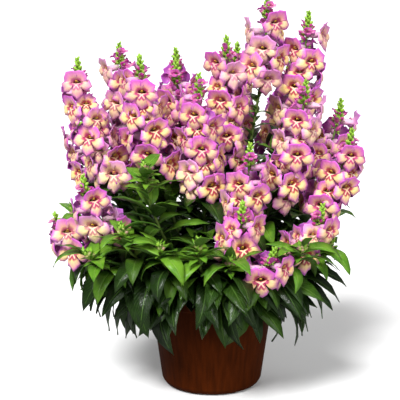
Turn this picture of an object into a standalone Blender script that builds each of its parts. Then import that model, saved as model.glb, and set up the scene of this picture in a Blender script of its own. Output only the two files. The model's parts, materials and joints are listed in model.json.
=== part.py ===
"""A flowering snapdragon plant in its round plastic nursery pot.

Metres, +Z up, the front of the plant towards -Y. The origin is the middle of the pot's foot.
The pot and the potting soil are turned solids. Every flowering stem is two nodes: the green
stem with its leaves and bud spire, and the head of open blooms around it, fused to a thin
sleeve that the stem passes through. Leafy shoots without blooms are one node each.
Leaves and blooms are placed by a rule: each tries a few directions, bends and sizes, and takes
the first that is clear of everything placed before it.
"""

import math
import random

import bmesh
import bpy
from mathutils import Matrix, Vector
from mathutils.bvhtree import BVHTree

MM = 0.001

# The pot and its soil
RIM_RADIUS = 85 * MM
FOOT_RADIUS = 65 * MM
POT_HEIGHT = 130 * MM
POT_WALL = 1.6 * MM
LIP_HEIGHT = 12 * MM
LIP_OUT = 2.4 * MM
FOOT_ROUND = 7 * MM
FLOOR_LIFT = 4 * MM
FOOT_RING = 12 * MM
FOOT_BUTTON = 9 * MM
POT_SIDES = 20
DRAIN_HOLES = 4
DRAIN_RADIUS = 5 * MM
DRAIN_CIRCLE = 38 * MM
SOIL_TOP = 116 * MM
SOIL_DOME = 5 * MM
SOIL_SIDES = POT_SIDES
GAP = 0.35 * MM

# Stems
STEM_SIDES = 3
STEM_RADIUS = 3.3 * MM
STEM_TIP_RADIUS = 2.1 * MM
STEM_RINGS = 4
SHOOT_RINGS = 6
STEM_CLEARANCE = 0.9 * MM
ROOTED = 18 * MM
ROOTED_STRAIGHT = 29 * MM
CLEAR_OF_RIM = 78 * MM
CLUMP = 0.30
SPIRE = 22 * MM
SPIRE_RINGS = 2
SPIRE_KNOB = 4.2 * MM

# Leaves
LEAF_LENGTH = 68 * MM
LEAF_WIDTH = 22 * MM
LEAF_KEEL = 1.1 * MM
LEAF_ROOT_DEPTH = 1.7 * MM
LEAF_WIDEST = 0.42
LEAF_SPACING = 18.5 * MM
LOWEST_LEAF = 10 * MM
LOWEST_INNER_LEAF = 60 * MM
INNER_CLUMP = 100 * MM
BUSHY_TOP = 250 * MM
LEAF_CLEARANCE = 0.6 * MM
DROOPS = (15, 45, 75, 105)

# Blooms: the face is about 40 mm across
BLOOM_THROAT = 21 * MM
THROAT_RADIUS = 6.2 * MM
TUBE_RADIUS = 1.1 * MM
PETAL_THICKNESS = 1.8 * MM
THROAT_DEPTH = 8 * MM
SLEEVE_WALL = 0.9 * MM
BLOOM_SPACING = 15 * MM
BACK_BLOOM_SPACING = 27 * MM
BLOOM_SPREAD = 90
SNUG = 0.90
# Each lobe: middle angle round the throat, half angle, reach and forward lean of its edge
LOBES = (
    ("upper right", 52, 34, 20.5 * MM, 5.5 * MM),
    ("upper left", 128, 34, 20.5 * MM, 5.5 * MM),
    ("side left", 196, 30, 19.5 * MM, 2.0 * MM),
    ("lower middle", 270, 27, 20.0 * MM, 1.0 * MM),
    ("side right", 344, 30, 19.5 * MM, 2.0 * MM),
)
NOTCH_REACH = 0.56
CREST_NOTCH_REACH = 0.80

SEED = 2207
GOLDEN_TURN = 137.5

# Flowering stems: tip in millimetres, length of the head of blooms, and the way it faces,
# in degrees from the front, positive to the right
FLOWERING = (
    ("left_tall", (-170, -14, 432), 140, -35),
    ("left_rear", (-120, 30, 446), 124, -15),
    ("left_middle", (-90, -52, 440), 118, -8),
    ("centre_left", (-46, 14, 425), 108, -5),
    ("centre_front", (-17, -58, 418), 124, 0),
    ("centre_tall", (18, 4, 458), 136, 8),
    ("tallest", (70, 12, 508), 76, 0),
    ("right_tall", (124, 34, 486), 108, 20),
    ("right_middle", (116, -44, 408), 136, 8),
    ("right_outer", (178, -16, 342), 98, 45),
    ("centre_low", (46, -84, 336), 80, 5),
    ("front_middle", (36, -124, 272), 52, 5),
    ("front_low", (74, -152, 222), 38, 5),
    ("right_low", (136, -94, 262), 60, 20),
    ("left_trailing", (-200, -50, 240), 46, -65),
    ("left_low", (-160, -84, 296), 62, -20),
    ("back_left", (-118, 104, 408), 104, -150),
    ("back_centre_left", (-48, 96, 432), 108, 180),
    ("back_centre_right", (34, 88, 440), 108, 172),
    ("back_right", (106, 112, 412), 102, 150),
    ("right_rear", (172, 66, 368), 84, 105),
    ("left_back_outer", (-178, 62, 348), 78, -105),
)

BACK_STEMS = (
    "stem_back_left",
    "stem_back_centre_left",
    "stem_back_centre_right",
    "stem_back_right",
)

# Leafy shoots: tip in millimetres
SHOOTS = (
    ("front_left", (-112, -132, 244)),
    ("front_mid_left", (-66, -150, 226)),
    ("front_centre", (-18, -156, 232)),
    ("front_mid_right", (22, -150, 206)),
    ("front_right", (112, -140, 224)),
    ("right", (150, -92, 214)),
    ("right_side", (160, 24, 224)),
    ("left", (-158, -122, 208)),
    ("left_side", (-186, 20, 232)),
    ("inner_left", (-84, -108, 316)),
    ("back_left", (-126, 138, 246)),
    ("back_middle", (-48, 168, 262)),
    ("back_mid_right", (44, 166, 250)),
    ("back_right", (124, 136, 250)),
)

PLASTIC = ((0.14, 0.035, 0.018), 0.42)
SOIL = ((0.045, 0.028, 0.018), 0.95)
GREEN = ((0.045, 0.15, 0.025), 0.5)
YOUNG_GREEN = ((0.12, 0.34, 0.035), 0.5)
PINK = ((0.72, 0.28, 0.55), 0.55)


def rotation(azimuth, pitch, roll=0.0):
    """Turns local +X to the given direction: azimuth from the front, pitch above the horizon."""
    heading = math.radians(azimuth - 90)
    return (
        Matrix.Rotation(heading, 3, "Z")
        @ Matrix.Rotation(-math.radians(pitch), 3, "Y")
        @ Matrix.Rotation(math.radians(roll), 3, "X")
    )


def outward(azimuth):
    return Vector((math.sin(math.radians(azimuth)), -math.cos(math.radians(azimuth)), 0))


def azimuth_of(vector):
    return math.degrees(math.atan2(vector.x, -vector.y))


class Stem:
    """One stem's curve from the soil to its tip, and what grows on it."""

    def __init__(self, name, tip, head_length=0.0, face=None, shift=(0, 0)):
        self.name = name
        self.tip = Vector(tip) * MM
        flat = Vector((self.tip.x, self.tip.y, 0))
        base = flat * CLUMP + Vector((*shift, 0)) * MM
        base.z = SOIL_TOP - ROOTED
        rise = self.tip.z - base.z
        self.ends = (
            base,
            base + Vector((0, 0, max(0.42 * rise, CLEAR_OF_RIM))) + 0.08 * flat,
            self.tip - Vector((0, 0, min(0.42 * rise, rise - CLEAR_OF_RIM))) - 0.02 * flat,
            self.tip,
        )
        self.face = azimuth_of(self.tip) if face is None else face
        self.samples = [self.at(i / 60) for i in range(61)]
        self.length = sum((b - a).length for a, b in zip(self.samples, self.samples[1:]))
        self.spire = SPIRE if head_length else 0.0
        top = self.length - self.spire
        low = top - head_length * MM
        self.head = (low, top) if head_length else None
        count = STEM_RINGS if head_length else SHOOT_RINGS
        below = [low * k / (count - 1) for k in range(1, count)]
        self.stations = [0.0, ROOTED_STRAIGHT, *(d for d in below if d > 2 * ROOTED)]
        if head_length:
            self.stations += [(low + top) / 2, top, self.length]
        self.knots = [self.smooth(d)[0] for d in self.stations]
        self.blooms = []
        self.leaves = []

    def at(self, t):
        a, b, c, d = self.ends
        u = 1 - t
        return a * u**3 + b * (3 * u * u * t) + c * (3 * u * t * t) + d * t**3

    def along(self, distance):
        """Point on the faceted stem's middle line at a distance from the rooted end."""
        spans = zip(self.stations, self.stations[1:], self.knots, self.knots[1:])
        for low, high, a, b in spans:
            if distance <= high or high == self.stations[-1]:
                return a.lerp(b, (distance - low) / (high - low))

    def smooth(self, distance):
        """Point and direction on the smooth curve at a distance from the rooted end."""
        for a, b in zip(self.samples, self.samples[1:]):
            step = (b - a).length
            if distance <= step or b is self.samples[-1]:
                return a.lerp(b, min(distance / step, 1.0)), (b - a).normalized()
            distance -= step

    def radius(self, distance):
        share = min(distance / self.length, 1.0)
        return STEM_RADIUS + (STEM_TIP_RADIUS - STEM_RADIUS) * share**2


def ring(stem, distance, radius):
    """Points round the stem, square to its run."""
    centre, run = stem.along(distance), stem.smooth(distance)[1]
    side = run.cross(Vector((0, 1, 0))).normalized()
    front = side.cross(run)
    angles = (2 * math.pi * i / STEM_SIDES for i in range(STEM_SIDES))
    return [centre + radius * (math.cos(a) * side + math.sin(a) * front) for a in angles]


def bridged(rings, cap_start=True, cap_end=True):
    """Vertices and faces of a tube through rings of equal count; a ring of one point is a tip."""
    points = [p for r in rings for p in r]
    starts = [sum(len(r) for r in rings[:k]) for k in range(len(rings))]
    faces = []
    for k in range(len(rings) - 1):
        a, b = starts[k], starts[k + 1]
        n = len(rings[k])
        for i in range(n):
            j = (i + 1) % n
            if len(rings[k + 1]) == 1:
                faces.append((a + i, a + j, b))
            else:
                faces.append((a + i, a + j, b + j, b + i))
    if cap_start:
        faces.append(tuple(reversed(range(len(rings[0])))))
    if cap_end and len(rings[-1]) > 1:
        faces.append(tuple(starts[-1] + i for i in range(len(rings[-1]))))
    return points, faces


def stem_shape(stem, grow=0.0):
    """A three-sided rod that ends in a point, or in a spire of knobs that stand for its buds."""
    stations = stem.stations[:-1]
    rings = [ring(stem, d, stem.radius(d) + grow) for d in stations]
    for k in range(1, SPIRE_RINGS + 1 if stem.spire else 1):
        share = k / (SPIRE_RINGS + 1)
        distance = stem.length - stem.spire * (1 - share)
        knob = SPIRE_KNOB * (1 - share) ** 0.7
        points = []
        for i in range(STEM_SIDES):
            out = (i + k) % 2
            radius = STEM_TIP_RADIUS + (knob if out else 0) + grow
            lift = 2 * MM if out else -1 * MM
            points.append(ring(stem, distance + lift, radius)[i])
        rings.append(points)
    tip = stem.along(stem.length)
    rings.append([tip + grow * (tip - stem.along(stem.length - 1 * MM)).normalized()])
    return bridged(rings)


def midrib(droop, t):
    """Point and upward normal of a midrib of unit length that bends down by droop degrees."""
    bend = math.radians(droop)
    x = math.sin(bend * t) / bend
    z = -(1 - math.cos(bend * t)) / bend
    return Vector((x, 0, z)), Vector((math.sin(bend * t), 0, math.cos(bend * t)))


def leaf_shape(length, width, droop, start=0.0, extra=0.0):
    """A kite-shaped blade, flat above and keeled below, from an upright wedge to a point."""
    point, normal = midrib(droop, start)
    depth = LEAF_ROOT_DEPTH / 2 + extra
    points = [point * length + normal * depth, point * length - normal * depth]
    point, normal = midrib(droop, LEAF_WIDEST)
    side = Vector((0, width / 2 + extra, 0))
    top = point * length + normal * (0.35 * MM + extra)
    points += [top + side, top - side, top - normal * (LEAF_KEEL + 2 * extra)]
    points.append(midrib(droop, 1.0)[0] * length)
    faces = [(0, 3, 2), (0, 2, 1), (0, 1, 3), (1, 2, 4), (1, 4, 3)]
    faces += [(2, 3, 5), (3, 4, 5), (4, 2, 5)]
    return points, faces


def bloom_shape(size, start, grow=1.0):
    """A five-sided tube that opens into two upper and three lower lobes, with a hollow throat."""
    notches = []
    for (_, middle, half, *_), (_, after, *_) in zip(LOBES, LOBES[1:] + LOBES[:1]):
        notches.append(math.radians(middle + half if after < middle else (middle + after) / 2))
    notches[-1] = math.radians(378)

    def on_face(angle, reach, x):
        return Vector((x, math.cos(angle) * reach, math.sin(angle) * reach)) * size

    share = max(start / (size * BLOOM_THROAT) - 0.15, 0.0) / 0.85
    narrow = TUBE_RADIUS + (THROAT_RADIUS - TUBE_RADIUS) * share
    base = [on_face(math.radians(a), narrow * grow, start / size) for a in (90, 210, 330)]
    mouth = [on_face(a, THROAT_RADIUS * grow, BLOOM_THROAT) for a in notches]
    front = [
        on_face(a, THROAT_RADIUS * 0.86, BLOOM_THROAT + PETAL_THICKNESS) for a in notches
    ]
    pit = on_face(0, 0, BLOOM_THROAT - THROAT_DEPTH)
    points = base + mouth + front + [pit]
    faces = [(0, 2, 1), (0, 3, 4), (0, 4, 1), (1, 4, 5), (1, 5, 2)]
    faces += [(2, 5, 6), (2, 6, 7), (2, 7, 0), (0, 7, 3)]
    faces += [(8 + i, 8 + (i + 1) % 5, 13) for i in range(5)]
    first = len(points)
    for k in range(5):
        _, middle, half, reach, lean = LOBES[k]
        crest = k == 0
        notch_reach = LOBES[k][3] * (CREST_NOTCH_REACH if crest else NOTCH_REACH)
        x = BLOOM_THROAT + PETAL_THICKNESS / 2 + lean
        for side in (-0.56, 0.56):
            angle = math.radians(middle + side * half)
            points.append(on_face(angle, reach * grow, x))
        points.append(on_face(notches[k], notch_reach * grow, x - lean * 0.4))
    for k in range(5):
        before, here = (k - 1) % 5, k
        a, b, c, d = first + 3 * before + 2, first + 3 * k, first + 3 * k + 1, first + 3 * k + 2
        back_a, back_b, front_a, front_b = 3 + before, 3 + here, 8 + before, 8 + here
        faces += [(back_a, b, a), (back_a, back_b, b), (back_b, c, b), (back_b, d, c)]
        faces += [(front_a, a, b), (front_a, b, c), (front_a, c, front_b), (front_b, c, d)]
    return points, faces


def placed_at(shape, turned, origin):
    points, faces = shape
    return [turned @ p + origin for p in points], faces


class Garden:
    """Everything placed so far, for the test that a new piece is clear of it."""

    def __init__(self):
        self.pieces = []

    def tree(self, shape):
        points, faces = shape
        centre = sum(points, Vector()) / len(points)
        reach = max((p - centre).length for p in points)
        return BVHTree.FromPolygons(points, faces), centre, reach

    def add(self, shape, owner):
        self.pieces.append((*self.tree(shape), owner))

    def clear(self, shape, *skipped, only=None):
        tree, centre, reach = self.tree(shape)
        for other, middle, radius, owner in self.pieces:
            if owner in skipped or (only and owner != only):
                continue
            if (centre - middle).length > reach + radius:
                continue
            if tree.overlap(other):
                return False
        return True


def sleeve_radii(stem, distance):
    """Corner radii of the sleeve's hole, of the middle of its wall and of its outside."""
    corner = 1 / math.cos(math.pi / STEM_SIDES)
    hole = stem.radius(distance) + GAP * corner
    return hole, hole + SLEEVE_WALL * corner / 2, hole + SLEEVE_WALL * corner


def sleeve_shape(stem):
    """The thin sleeve that joins a head's blooms and leaves the stem free inside."""
    low, high = stem.head
    distances = [low, (low + high) / 2, high]
    hole = [ring(stem, d, sleeve_radii(stem, d)[0]) for d in distances]
    skin = [ring(stem, d, sleeve_radii(stem, d)[2]) for d in distances]
    points = [p for r in skin + hole for p in r]
    n = STEM_SIDES
    inner = n * len(distances)
    top = inner - n
    faces = []
    for i in range(n):
        j = (i + 1) % n
        for a in range(0, top, n):
            b = a + n
            faces.append((a + i, a + j, b + j, b + i))
            faces.append((inner + a + j, inner + a + i, inner + b + i, inner + b + j))
        faces.append((j, i, inner + i, inner + j))
        faces.append((top + i, top + j, inner + top + j, inner + top + i))
    return points, faces


def root_depth(stem, distance, direction):
    """How far from the stem's middle line the sleeve's wall lies in a direction."""
    centre = stem.along(distance)
    corners = ring(stem, distance, sleeve_radii(stem, distance)[1])
    reaches = []
    for a, b in zip(corners, corners[1:] + corners[:1]):
        square = (a + b) / 2 - centre
        facing = direction.dot(square.normalized())
        if facing > 0.1:
            reaches.append(square.length / facing)
    return min(reaches)


def bloom_tries():
    """Turn, lift and shrinking of each try, the mildest changes first."""
    tries = []
    for turn in (0, 15, -15, 30, -30, 48, -48, 70, -70, 95, -95):
        for lift in (0, 14, -14):
            for smaller in (1.0, 0.9, 0.8):
                cost = abs(turn) / 30 + abs(lift) / 20 + 6 * (1 - smaller)
                tries.append((cost, turn, lift, smaller))
    return [t[1:] for t in sorted(tries)]


BLOOM_TRIES = bloom_tries()


def grow_blooms(stem, garden, draw):
    """Open blooms up the head, the lowest largest; their petals may meet within the head."""
    low, high = stem.head
    spacing = BACK_BLOOM_SPACING if stem.name in BACK_STEMS else BLOOM_SPACING
    count = round((high - low) / spacing)
    head = stem.name + " head"
    phase = draw.random()
    for i in range(count):
        distance = low + (high - low) * (i + 0.5) / count
        origin = stem.along(distance)
        share = (phase + i * 0.618) % 1.0
        wish = stem.face + BLOOM_SPREAD * (2 * share - 1)
        size = 1.0 - 0.16 * i / count
        pitch = draw.uniform(-14, 4)
        roll = draw.uniform(-9, 9)
        for turn, lift, smaller in BLOOM_TRIES:
            turned = rotation(wish + turn, pitch + lift, roll)
            whole = bloom_shape(size * smaller, 3 * MM, 1.04)
            mouth = bloom_shape(size * smaller, 8 * MM, 1.04)
            snug = bloom_shape(size * smaller * SNUG, 8 * MM)
            if (
                garden.clear(placed_at(snug, turned, origin), only=head)
                and garden.clear(placed_at(mouth, turned, origin), head)
                and garden.clear(placed_at(whole, turned, origin), head, stem.name)
            ):
                break
        else:
            continue
        root = root_depth(stem, distance, turned @ Vector((1, 0, 0)))
        stem.blooms.append((origin, turned, size * smaller, root))
        shape = bloom_shape(size * smaller, root)
        garden.add(placed_at(shape, turned, origin), head)


def leaf_slots(stem, draw):
    """Distance, length, azimuth and height share of each leaf, from the soil upwards."""
    top = (stem.head[0] if stem.head else stem.length) - 6 * MM
    outer = math.hypot(stem.tip.x, stem.tip.y) > INNER_CLUMP
    distance = ROOTED + (LOWEST_LEAF if outer else LOWEST_INNER_LEAF)
    azimuth = draw.uniform(0, 360)
    out = azimuth_of(stem.tip)
    slots = []
    while distance < top:
        point = stem.along(distance)
        share = (point.z - SOIL_TOP) / (BUSHY_TOP - SOIL_TOP)
        length = LEAF_LENGTH * draw.uniform(0.86, 1.1)
        spacing = LEAF_SPACING if outer else 1.35 * LEAF_SPACING
        if share > 1:
            length *= max(0.42, 1 - 1.1 * (share - 1))
            spacing *= 1.7
        if not stem.head:
            length *= 1 - 0.45 * ((distance - ROOTED) / (top - ROOTED)) ** 3
            spacing *= 0.74
        swing = (azimuth + 180) % 360 - 180
        slots.append((distance, length, out + swing * (0.72 if outer else 1.0), share))
        azimuth += GOLDEN_TURN
        distance += spacing
    return slots


def leaf_tries():
    """Turn, change of bend, lift and shortening of each try, the mildest changes first."""
    tries = []
    for turn in (0, 16, -16, 34, -34, 55, -55, 80, -80):
        for bend, lift in ((0, 0), (0, 14), (-1, 14), (1, -12), (-1, 32), (0, -20)):
            for shorter in (1.0, 0.82, 0.64):
                cost = abs(turn) / 30 + abs(lift) / 25 + 3.2 * (1 - shorter)
                tries.append((cost, turn, bend, lift, shorter))
    return [t[1:] for t in sorted(tries)]


def grow_leaves(stem, garden, draw):
    for distance, length, wish, share in leaf_slots(stem, draw):
        origin = stem.along(distance)
        width = LEAF_WIDTH * length / LEAF_LENGTH * draw.uniform(0.9, 1.08)
        young = not stem.head and distance > 0.72 * stem.length
        pitch = (48 if young else 16 + 26 * min(share, 1.0)) + draw.uniform(-8, 8)
        roll = draw.uniform(-16, 16)
        first = 1 if young or share > 0.75 else 2
        for turn, bend, lift, shorter in TRIES:
            bend = min(max(first + bend, 0), len(DROOPS) - 1)
            turned = rotation(wish + turn, pitch + lift, roll)
            long, wide = length * shorter, width * (0.4 + 0.6 * shorter)
            whole = leaf_shape(long, wide, DROOPS[bend], 0, LEAF_CLEARANCE)
            blade = leaf_shape(long, wide, DROOPS[bend], 0.13, LEAF_CLEARANCE)
            if garden.clear(placed_at(blade, turned, origin)) and garden.clear(
                placed_at(whole, turned, origin), stem.name
            ):
                stem.leaves.append((origin, turned, long, wide, DROOPS[bend], share))
                shape = leaf_shape(long, wide, DROOPS[bend])
                garden.add(placed_at(shape, turned, origin), stem.name)
                break


TRIES = leaf_tries()


def rooted_clear(garden, *row):
    """The stem with the smallest shift of its root that keeps it clear of the others."""
    steps = [(x, y) for x in range(-12, 13, 3) for y in range(-12, 13, 3)]
    for shift in sorted(steps, key=lambda s: s[0] ** 2 + s[1] ** 2 + 0.01 * s[0]):
        stem = Stem(*row, shift=shift)
        shape = stem_shape(stem, STEM_CLEARANCE)
        if garden.clear(shape):
            garden.add(shape, stem.name)
            if stem.head:
                garden.add(sleeve_shape(stem), stem.name)
            return stem
    raise RuntimeError(f"no clear root for {row[0]}")


def grow_plant(pot, soil):
    """Every stem with its blooms and leaves."""
    draw = random.Random(SEED)
    garden = Garden()
    garden.add(pot, "pot")
    wanted = [("stem_" + name, *rest) for name, *rest in FLOWERING]
    wanted += [("shoot_" + name, *rest) for name, *rest in SHOOTS]
    stems = [rooted_clear(garden, *row) for row in wanted]
    flowering, shoots = stems[: len(FLOWERING)], stems[len(FLOWERING) :]
    garden.add(soil, "soil")
    for stem in flowering:
        grow_blooms(stem, garden, draw)
    for stem in shoots + flowering[::-1]:
        grow_leaves(stem, garden, draw)
    return flowering, shoots


def material(name, finish):
    colour, roughness = finish
    made = bpy.data.materials.new(name)
    made.use_nodes = True
    shader = made.node_tree.nodes["Principled BSDF"]
    shader.inputs["Base Color"].default_value = (*colour, 1)
    shader.inputs["Roughness"].default_value = roughness
    shader.inputs["Metallic"].default_value = 0.0
    made.diffuse_color = (*colour, 1)
    return made


def mesh_object(name, shape, look, collection=None):
    """A mesh object at the origin with its faces pointing out."""
    points, faces = shape
    mesh = bpy.data.meshes.new(name)
    mesh.from_pydata([tuple(p) for p in points], [], faces)
    filled = bmesh.new()
    filled.from_mesh(mesh)
    bmesh.ops.triangulate(filled, faces=filled.faces)
    bmesh.ops.recalc_face_normals(filled, faces=filled.faces)
    filled.to_mesh(mesh)
    filled.free()
    mesh.materials.append(look)
    made = bpy.data.objects.new(name, mesh)
    (collection or bpy.context.scene.collection).objects.link(made)
    return made


def joined(base, shapes, look, operation="UNION"):
    """Joins the shapes to base, or cuts them out of it, with one Boolean on a collection."""
    if not shapes:
        return base
    group = bpy.data.collections.new("repeats")
    bpy.context.scene.collection.children.link(group)
    for k, shape in enumerate(shapes):
        mesh_object(f"repeat_{k}", shape, look, group)
    boolean = base.modifiers.new("join", "BOOLEAN")
    boolean.operation = operation
    boolean.operand_type = "COLLECTION"
    boolean.collection = group
    boolean.solver = "MANIFOLD"
    bpy.context.view_layer.update()
    graph = bpy.context.evaluated_depsgraph_get()
    result = bpy.data.meshes.new_from_object(base.evaluated_get(graph))
    base.modifiers.clear()
    base.data = result
    for helper in list(group.objects):
        bpy.data.objects.remove(helper)
    bpy.data.collections.remove(group)
    return base


def pot_profile():
    """Outer side from the rim down, the foot and its recess, then the inner side back up."""
    taper = (RIM_RADIUS - LIP_OUT - FOOT_RADIUS) / POT_HEIGHT
    under_lip = POT_HEIGHT - LIP_HEIGHT
    foot_edge = FOOT_RADIUS - FOOT_ROUND
    return [
        (RIM_RADIUS, POT_HEIGHT),
        (RIM_RADIUS - 0.4 * MM, under_lip),
        (FOOT_RADIUS + taper * under_lip, under_lip - 1.5 * MM),
        (FOOT_RADIUS + taper * FOOT_ROUND, FOOT_ROUND),
        (FOOT_RADIUS - 0.3 * FOOT_ROUND, 0.3 * FOOT_ROUND),
        (foot_edge, 0.0),
        (foot_edge - FOOT_RING, 0.0),
        (foot_edge - FOOT_RING - FLOOR_LIFT / 2, FLOOR_LIFT / 2),
        (FOOT_BUTTON + FLOOR_LIFT / 2, FLOOR_LIFT / 2),
        (FOOT_BUTTON, 0.0),
        (0.0, 0.0),
        (0.0, FLOOR_LIFT / 2 + POT_WALL),
        (foot_edge, FLOOR_LIFT / 2 + POT_WALL),
        (FOOT_RADIUS - POT_WALL, FOOT_ROUND),
        (RIM_RADIUS - LIP_OUT - POT_WALL, under_lip),
        (RIM_RADIUS - POT_WALL, POT_HEIGHT),
    ]


def turned_solid(profile, sides):
    """Vertices and faces of a profile turned about the Z axis."""
    points, faces, rows = [], [], []
    for radius, height in profile:
        if radius == 0.0:
            rows.append([len(points)])
            points.append(Vector((0, 0, height)))
            continue
        rows.append(list(range(len(points), len(points) + sides)))
        for i in range(sides):
            a = 2 * math.pi * i / sides
            points.append(Vector((radius * math.cos(a), radius * math.sin(a), height)))
    for upper, lower in zip(rows, rows[1:] + rows[:1]):
        if len(upper) == len(lower) == 1:
            continue
        for i in range(sides):
            j = (i + 1) % sides
            if len(upper) == 1:
                faces.append((upper[0], lower[j], lower[i]))
            elif len(lower) == 1:
                faces.append((upper[i], upper[j], lower[0]))
            else:
                faces.append((upper[i], upper[j], lower[j], lower[i]))
    return points, faces


def upright_prism(x, y, low, high, radius, sides):
    corners = [
        (x + radius * math.cos(2 * math.pi * i / sides), y + radius * math.sin(2 * math.pi * i / sides))
        for i in range(sides)
    ]
    return bridged([[Vector((u, v, z)) for u, v in corners] for z in (low, high)])


def make_pot():
    look = material("pot_plastic", PLASTIC)
    pot = mesh_object("pot", turned_solid(pot_profile(), POT_SIDES), look)
    holes = []
    for i in range(DRAIN_HOLES):
        a = 2 * math.pi * (i + 0.5) / DRAIN_HOLES
        x, y = DRAIN_CIRCLE * math.cos(a), DRAIN_CIRCLE * math.sin(a)
        holes.append(upright_prism(x, y, -1 * MM, 2 * FLOOR_LIFT, DRAIN_RADIUS, 6))
    return joined(pot, holes, look, "DIFFERENCE")


def soil_radius(height):
    """Radius of the pot's inner wall at a height, less the gap."""
    low, high = FOOT_ROUND, POT_HEIGHT - LIP_HEIGHT
    share = (height - low) / (high - low)
    inside = FOOT_RADIUS - POT_WALL
    return inside + share * (RIM_RADIUS - LIP_OUT - POT_WALL - inside) - 2 * GAP


def soil_profile():
    """Middle of the dome, the wall side downwards, and the underside."""
    floor = FLOOR_LIFT / 2 + POT_WALL + GAP
    return [
        (0.0, SOIL_TOP + SOIL_DOME),
        (soil_radius(SOIL_TOP), SOIL_TOP - 1 * MM),
        (soil_radius(1.6 * FOOT_ROUND), 1.6 * FOOT_ROUND),
        (FOOT_RADIUS - FOOT_ROUND - 2 * MM, floor),
        (0.0, floor),
    ]


def make_soil(stems):
    """The potting soil: a domed plug with a plain hole for each stem."""
    look = material("potting_soil", SOIL)
    soil = mesh_object("soil", turned_solid(soil_profile(), SOIL_SIDES), look)
    holes = []
    for stem in stems:
        low = ring(stem, 0, stem.radius(0) + 2 * GAP)
        high = ring(stem, ROOTED_STRAIGHT, stem.radius(ROOTED_STRAIGHT) + 2 * GAP)
        drop = (low[0] - high[0]).normalized() * GAP
        holes.append(bridged([[p + drop for p in low], high]))
    return joined(soil, holes, look, "DIFFERENCE")


def make_stem(stem, look):
    made = mesh_object(stem.name, stem_shape(stem), look)
    blades = [
        placed_at(leaf_shape(long, wide, droop), turned, origin)
        for origin, turned, long, wide, droop, _ in stem.leaves
    ]
    return joined(made, blades, look)


def make_head(stem, look):
    name = stem.name.replace("stem_", "blooms_")
    made = mesh_object(name, sleeve_shape(stem), look)
    blooms = [
        placed_at(bloom_shape(size, root), turned, origin)
        for origin, turned, size, root in stem.blooms
    ]
    return joined(made, blooms, look)


def main():
    for old in list(bpy.data.objects):
        bpy.data.objects.remove(old)
    pot = turned_solid(pot_profile(), POT_SIDES)
    flowering, shoots = grow_plant(pot, turned_solid(soil_profile(), SOIL_SIDES))
    make_pot()
    make_soil(flowering + shoots)
    green = material("stem_and_leaf", GREEN)
    young = material("young_leaf", YOUNG_GREEN)
    pink = material("petal", PINK)
    for stem in flowering:
        make_stem(stem, green)
        make_head(stem, pink)
    for stem in shoots:
        make_stem(stem, young)


main()
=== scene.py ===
"""A flowering snapdragon plant in its pot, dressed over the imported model.

The plant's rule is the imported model's own: every stem, leaf and bloom is placed again by the same
draw, and then gets its fine shape from Geometry Nodes. Metres, +Z up, the front towards -Y.
"""

import json
import math
import random
from collections import namedtuple

import bmesh
import bpy
from mathutils import Matrix, Vector
from mathutils.bvhtree import BVHTree

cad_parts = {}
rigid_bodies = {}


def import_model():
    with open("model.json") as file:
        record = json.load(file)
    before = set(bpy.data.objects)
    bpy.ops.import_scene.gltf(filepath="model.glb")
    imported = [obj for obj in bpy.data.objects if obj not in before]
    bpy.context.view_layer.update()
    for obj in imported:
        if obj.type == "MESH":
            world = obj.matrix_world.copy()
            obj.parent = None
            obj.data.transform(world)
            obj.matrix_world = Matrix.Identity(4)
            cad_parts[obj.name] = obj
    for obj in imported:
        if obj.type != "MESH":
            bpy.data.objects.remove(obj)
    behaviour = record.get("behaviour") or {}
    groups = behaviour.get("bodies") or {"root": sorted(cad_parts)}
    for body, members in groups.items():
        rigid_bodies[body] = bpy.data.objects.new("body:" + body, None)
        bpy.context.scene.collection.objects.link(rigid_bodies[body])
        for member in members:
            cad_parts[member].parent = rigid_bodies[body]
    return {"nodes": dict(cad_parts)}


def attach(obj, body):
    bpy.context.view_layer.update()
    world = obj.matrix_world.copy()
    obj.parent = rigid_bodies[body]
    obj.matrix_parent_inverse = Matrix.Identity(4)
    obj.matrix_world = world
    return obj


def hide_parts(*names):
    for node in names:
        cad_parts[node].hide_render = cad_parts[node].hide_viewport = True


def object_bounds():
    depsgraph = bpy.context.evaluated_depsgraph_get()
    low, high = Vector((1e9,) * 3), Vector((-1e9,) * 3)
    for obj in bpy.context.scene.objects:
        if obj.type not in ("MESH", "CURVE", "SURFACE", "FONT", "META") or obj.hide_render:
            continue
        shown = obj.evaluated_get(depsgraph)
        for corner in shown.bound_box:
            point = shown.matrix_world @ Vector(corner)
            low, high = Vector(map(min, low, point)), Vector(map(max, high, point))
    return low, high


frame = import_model()
CAD_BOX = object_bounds()

bl_info = {
    "name": "Potted snapdragon",
    "version": (1, 0, 0),
    "blender": (4, 5, 0),
    "location": "3D View > Sidebar > Snapdragon",
    "description": "Grows a potted snapdragon plant with its leaves, blooms, buds, pot and soil",
    "category": "Object",
}

MM = 0.001

# Packed pot and soil
RIM_RADIUS = 85 * MM
FOOT_RADIUS = 65 * MM
POT_HEIGHT = 130 * MM
POT_WALL = 1.6 * MM
LIP_HEIGHT = 12 * MM
LIP_OUT = 2.4 * MM
FOOT_ROUND = 7 * MM
FLOOR_LIFT = 4 * MM
FOOT_RING = 12 * MM
FOOT_BUTTON = 9 * MM
POT_SIDES = 20
DRAIN_HOLES = 4
DRAIN_RADIUS = 5 * MM
DRAIN_CIRCLE = 38 * MM
SOIL_TOP = 116 * MM
SOIL_DOME = 5 * MM
SOIL_SIDES = POT_SIDES
GAP = 0.35 * MM

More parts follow.
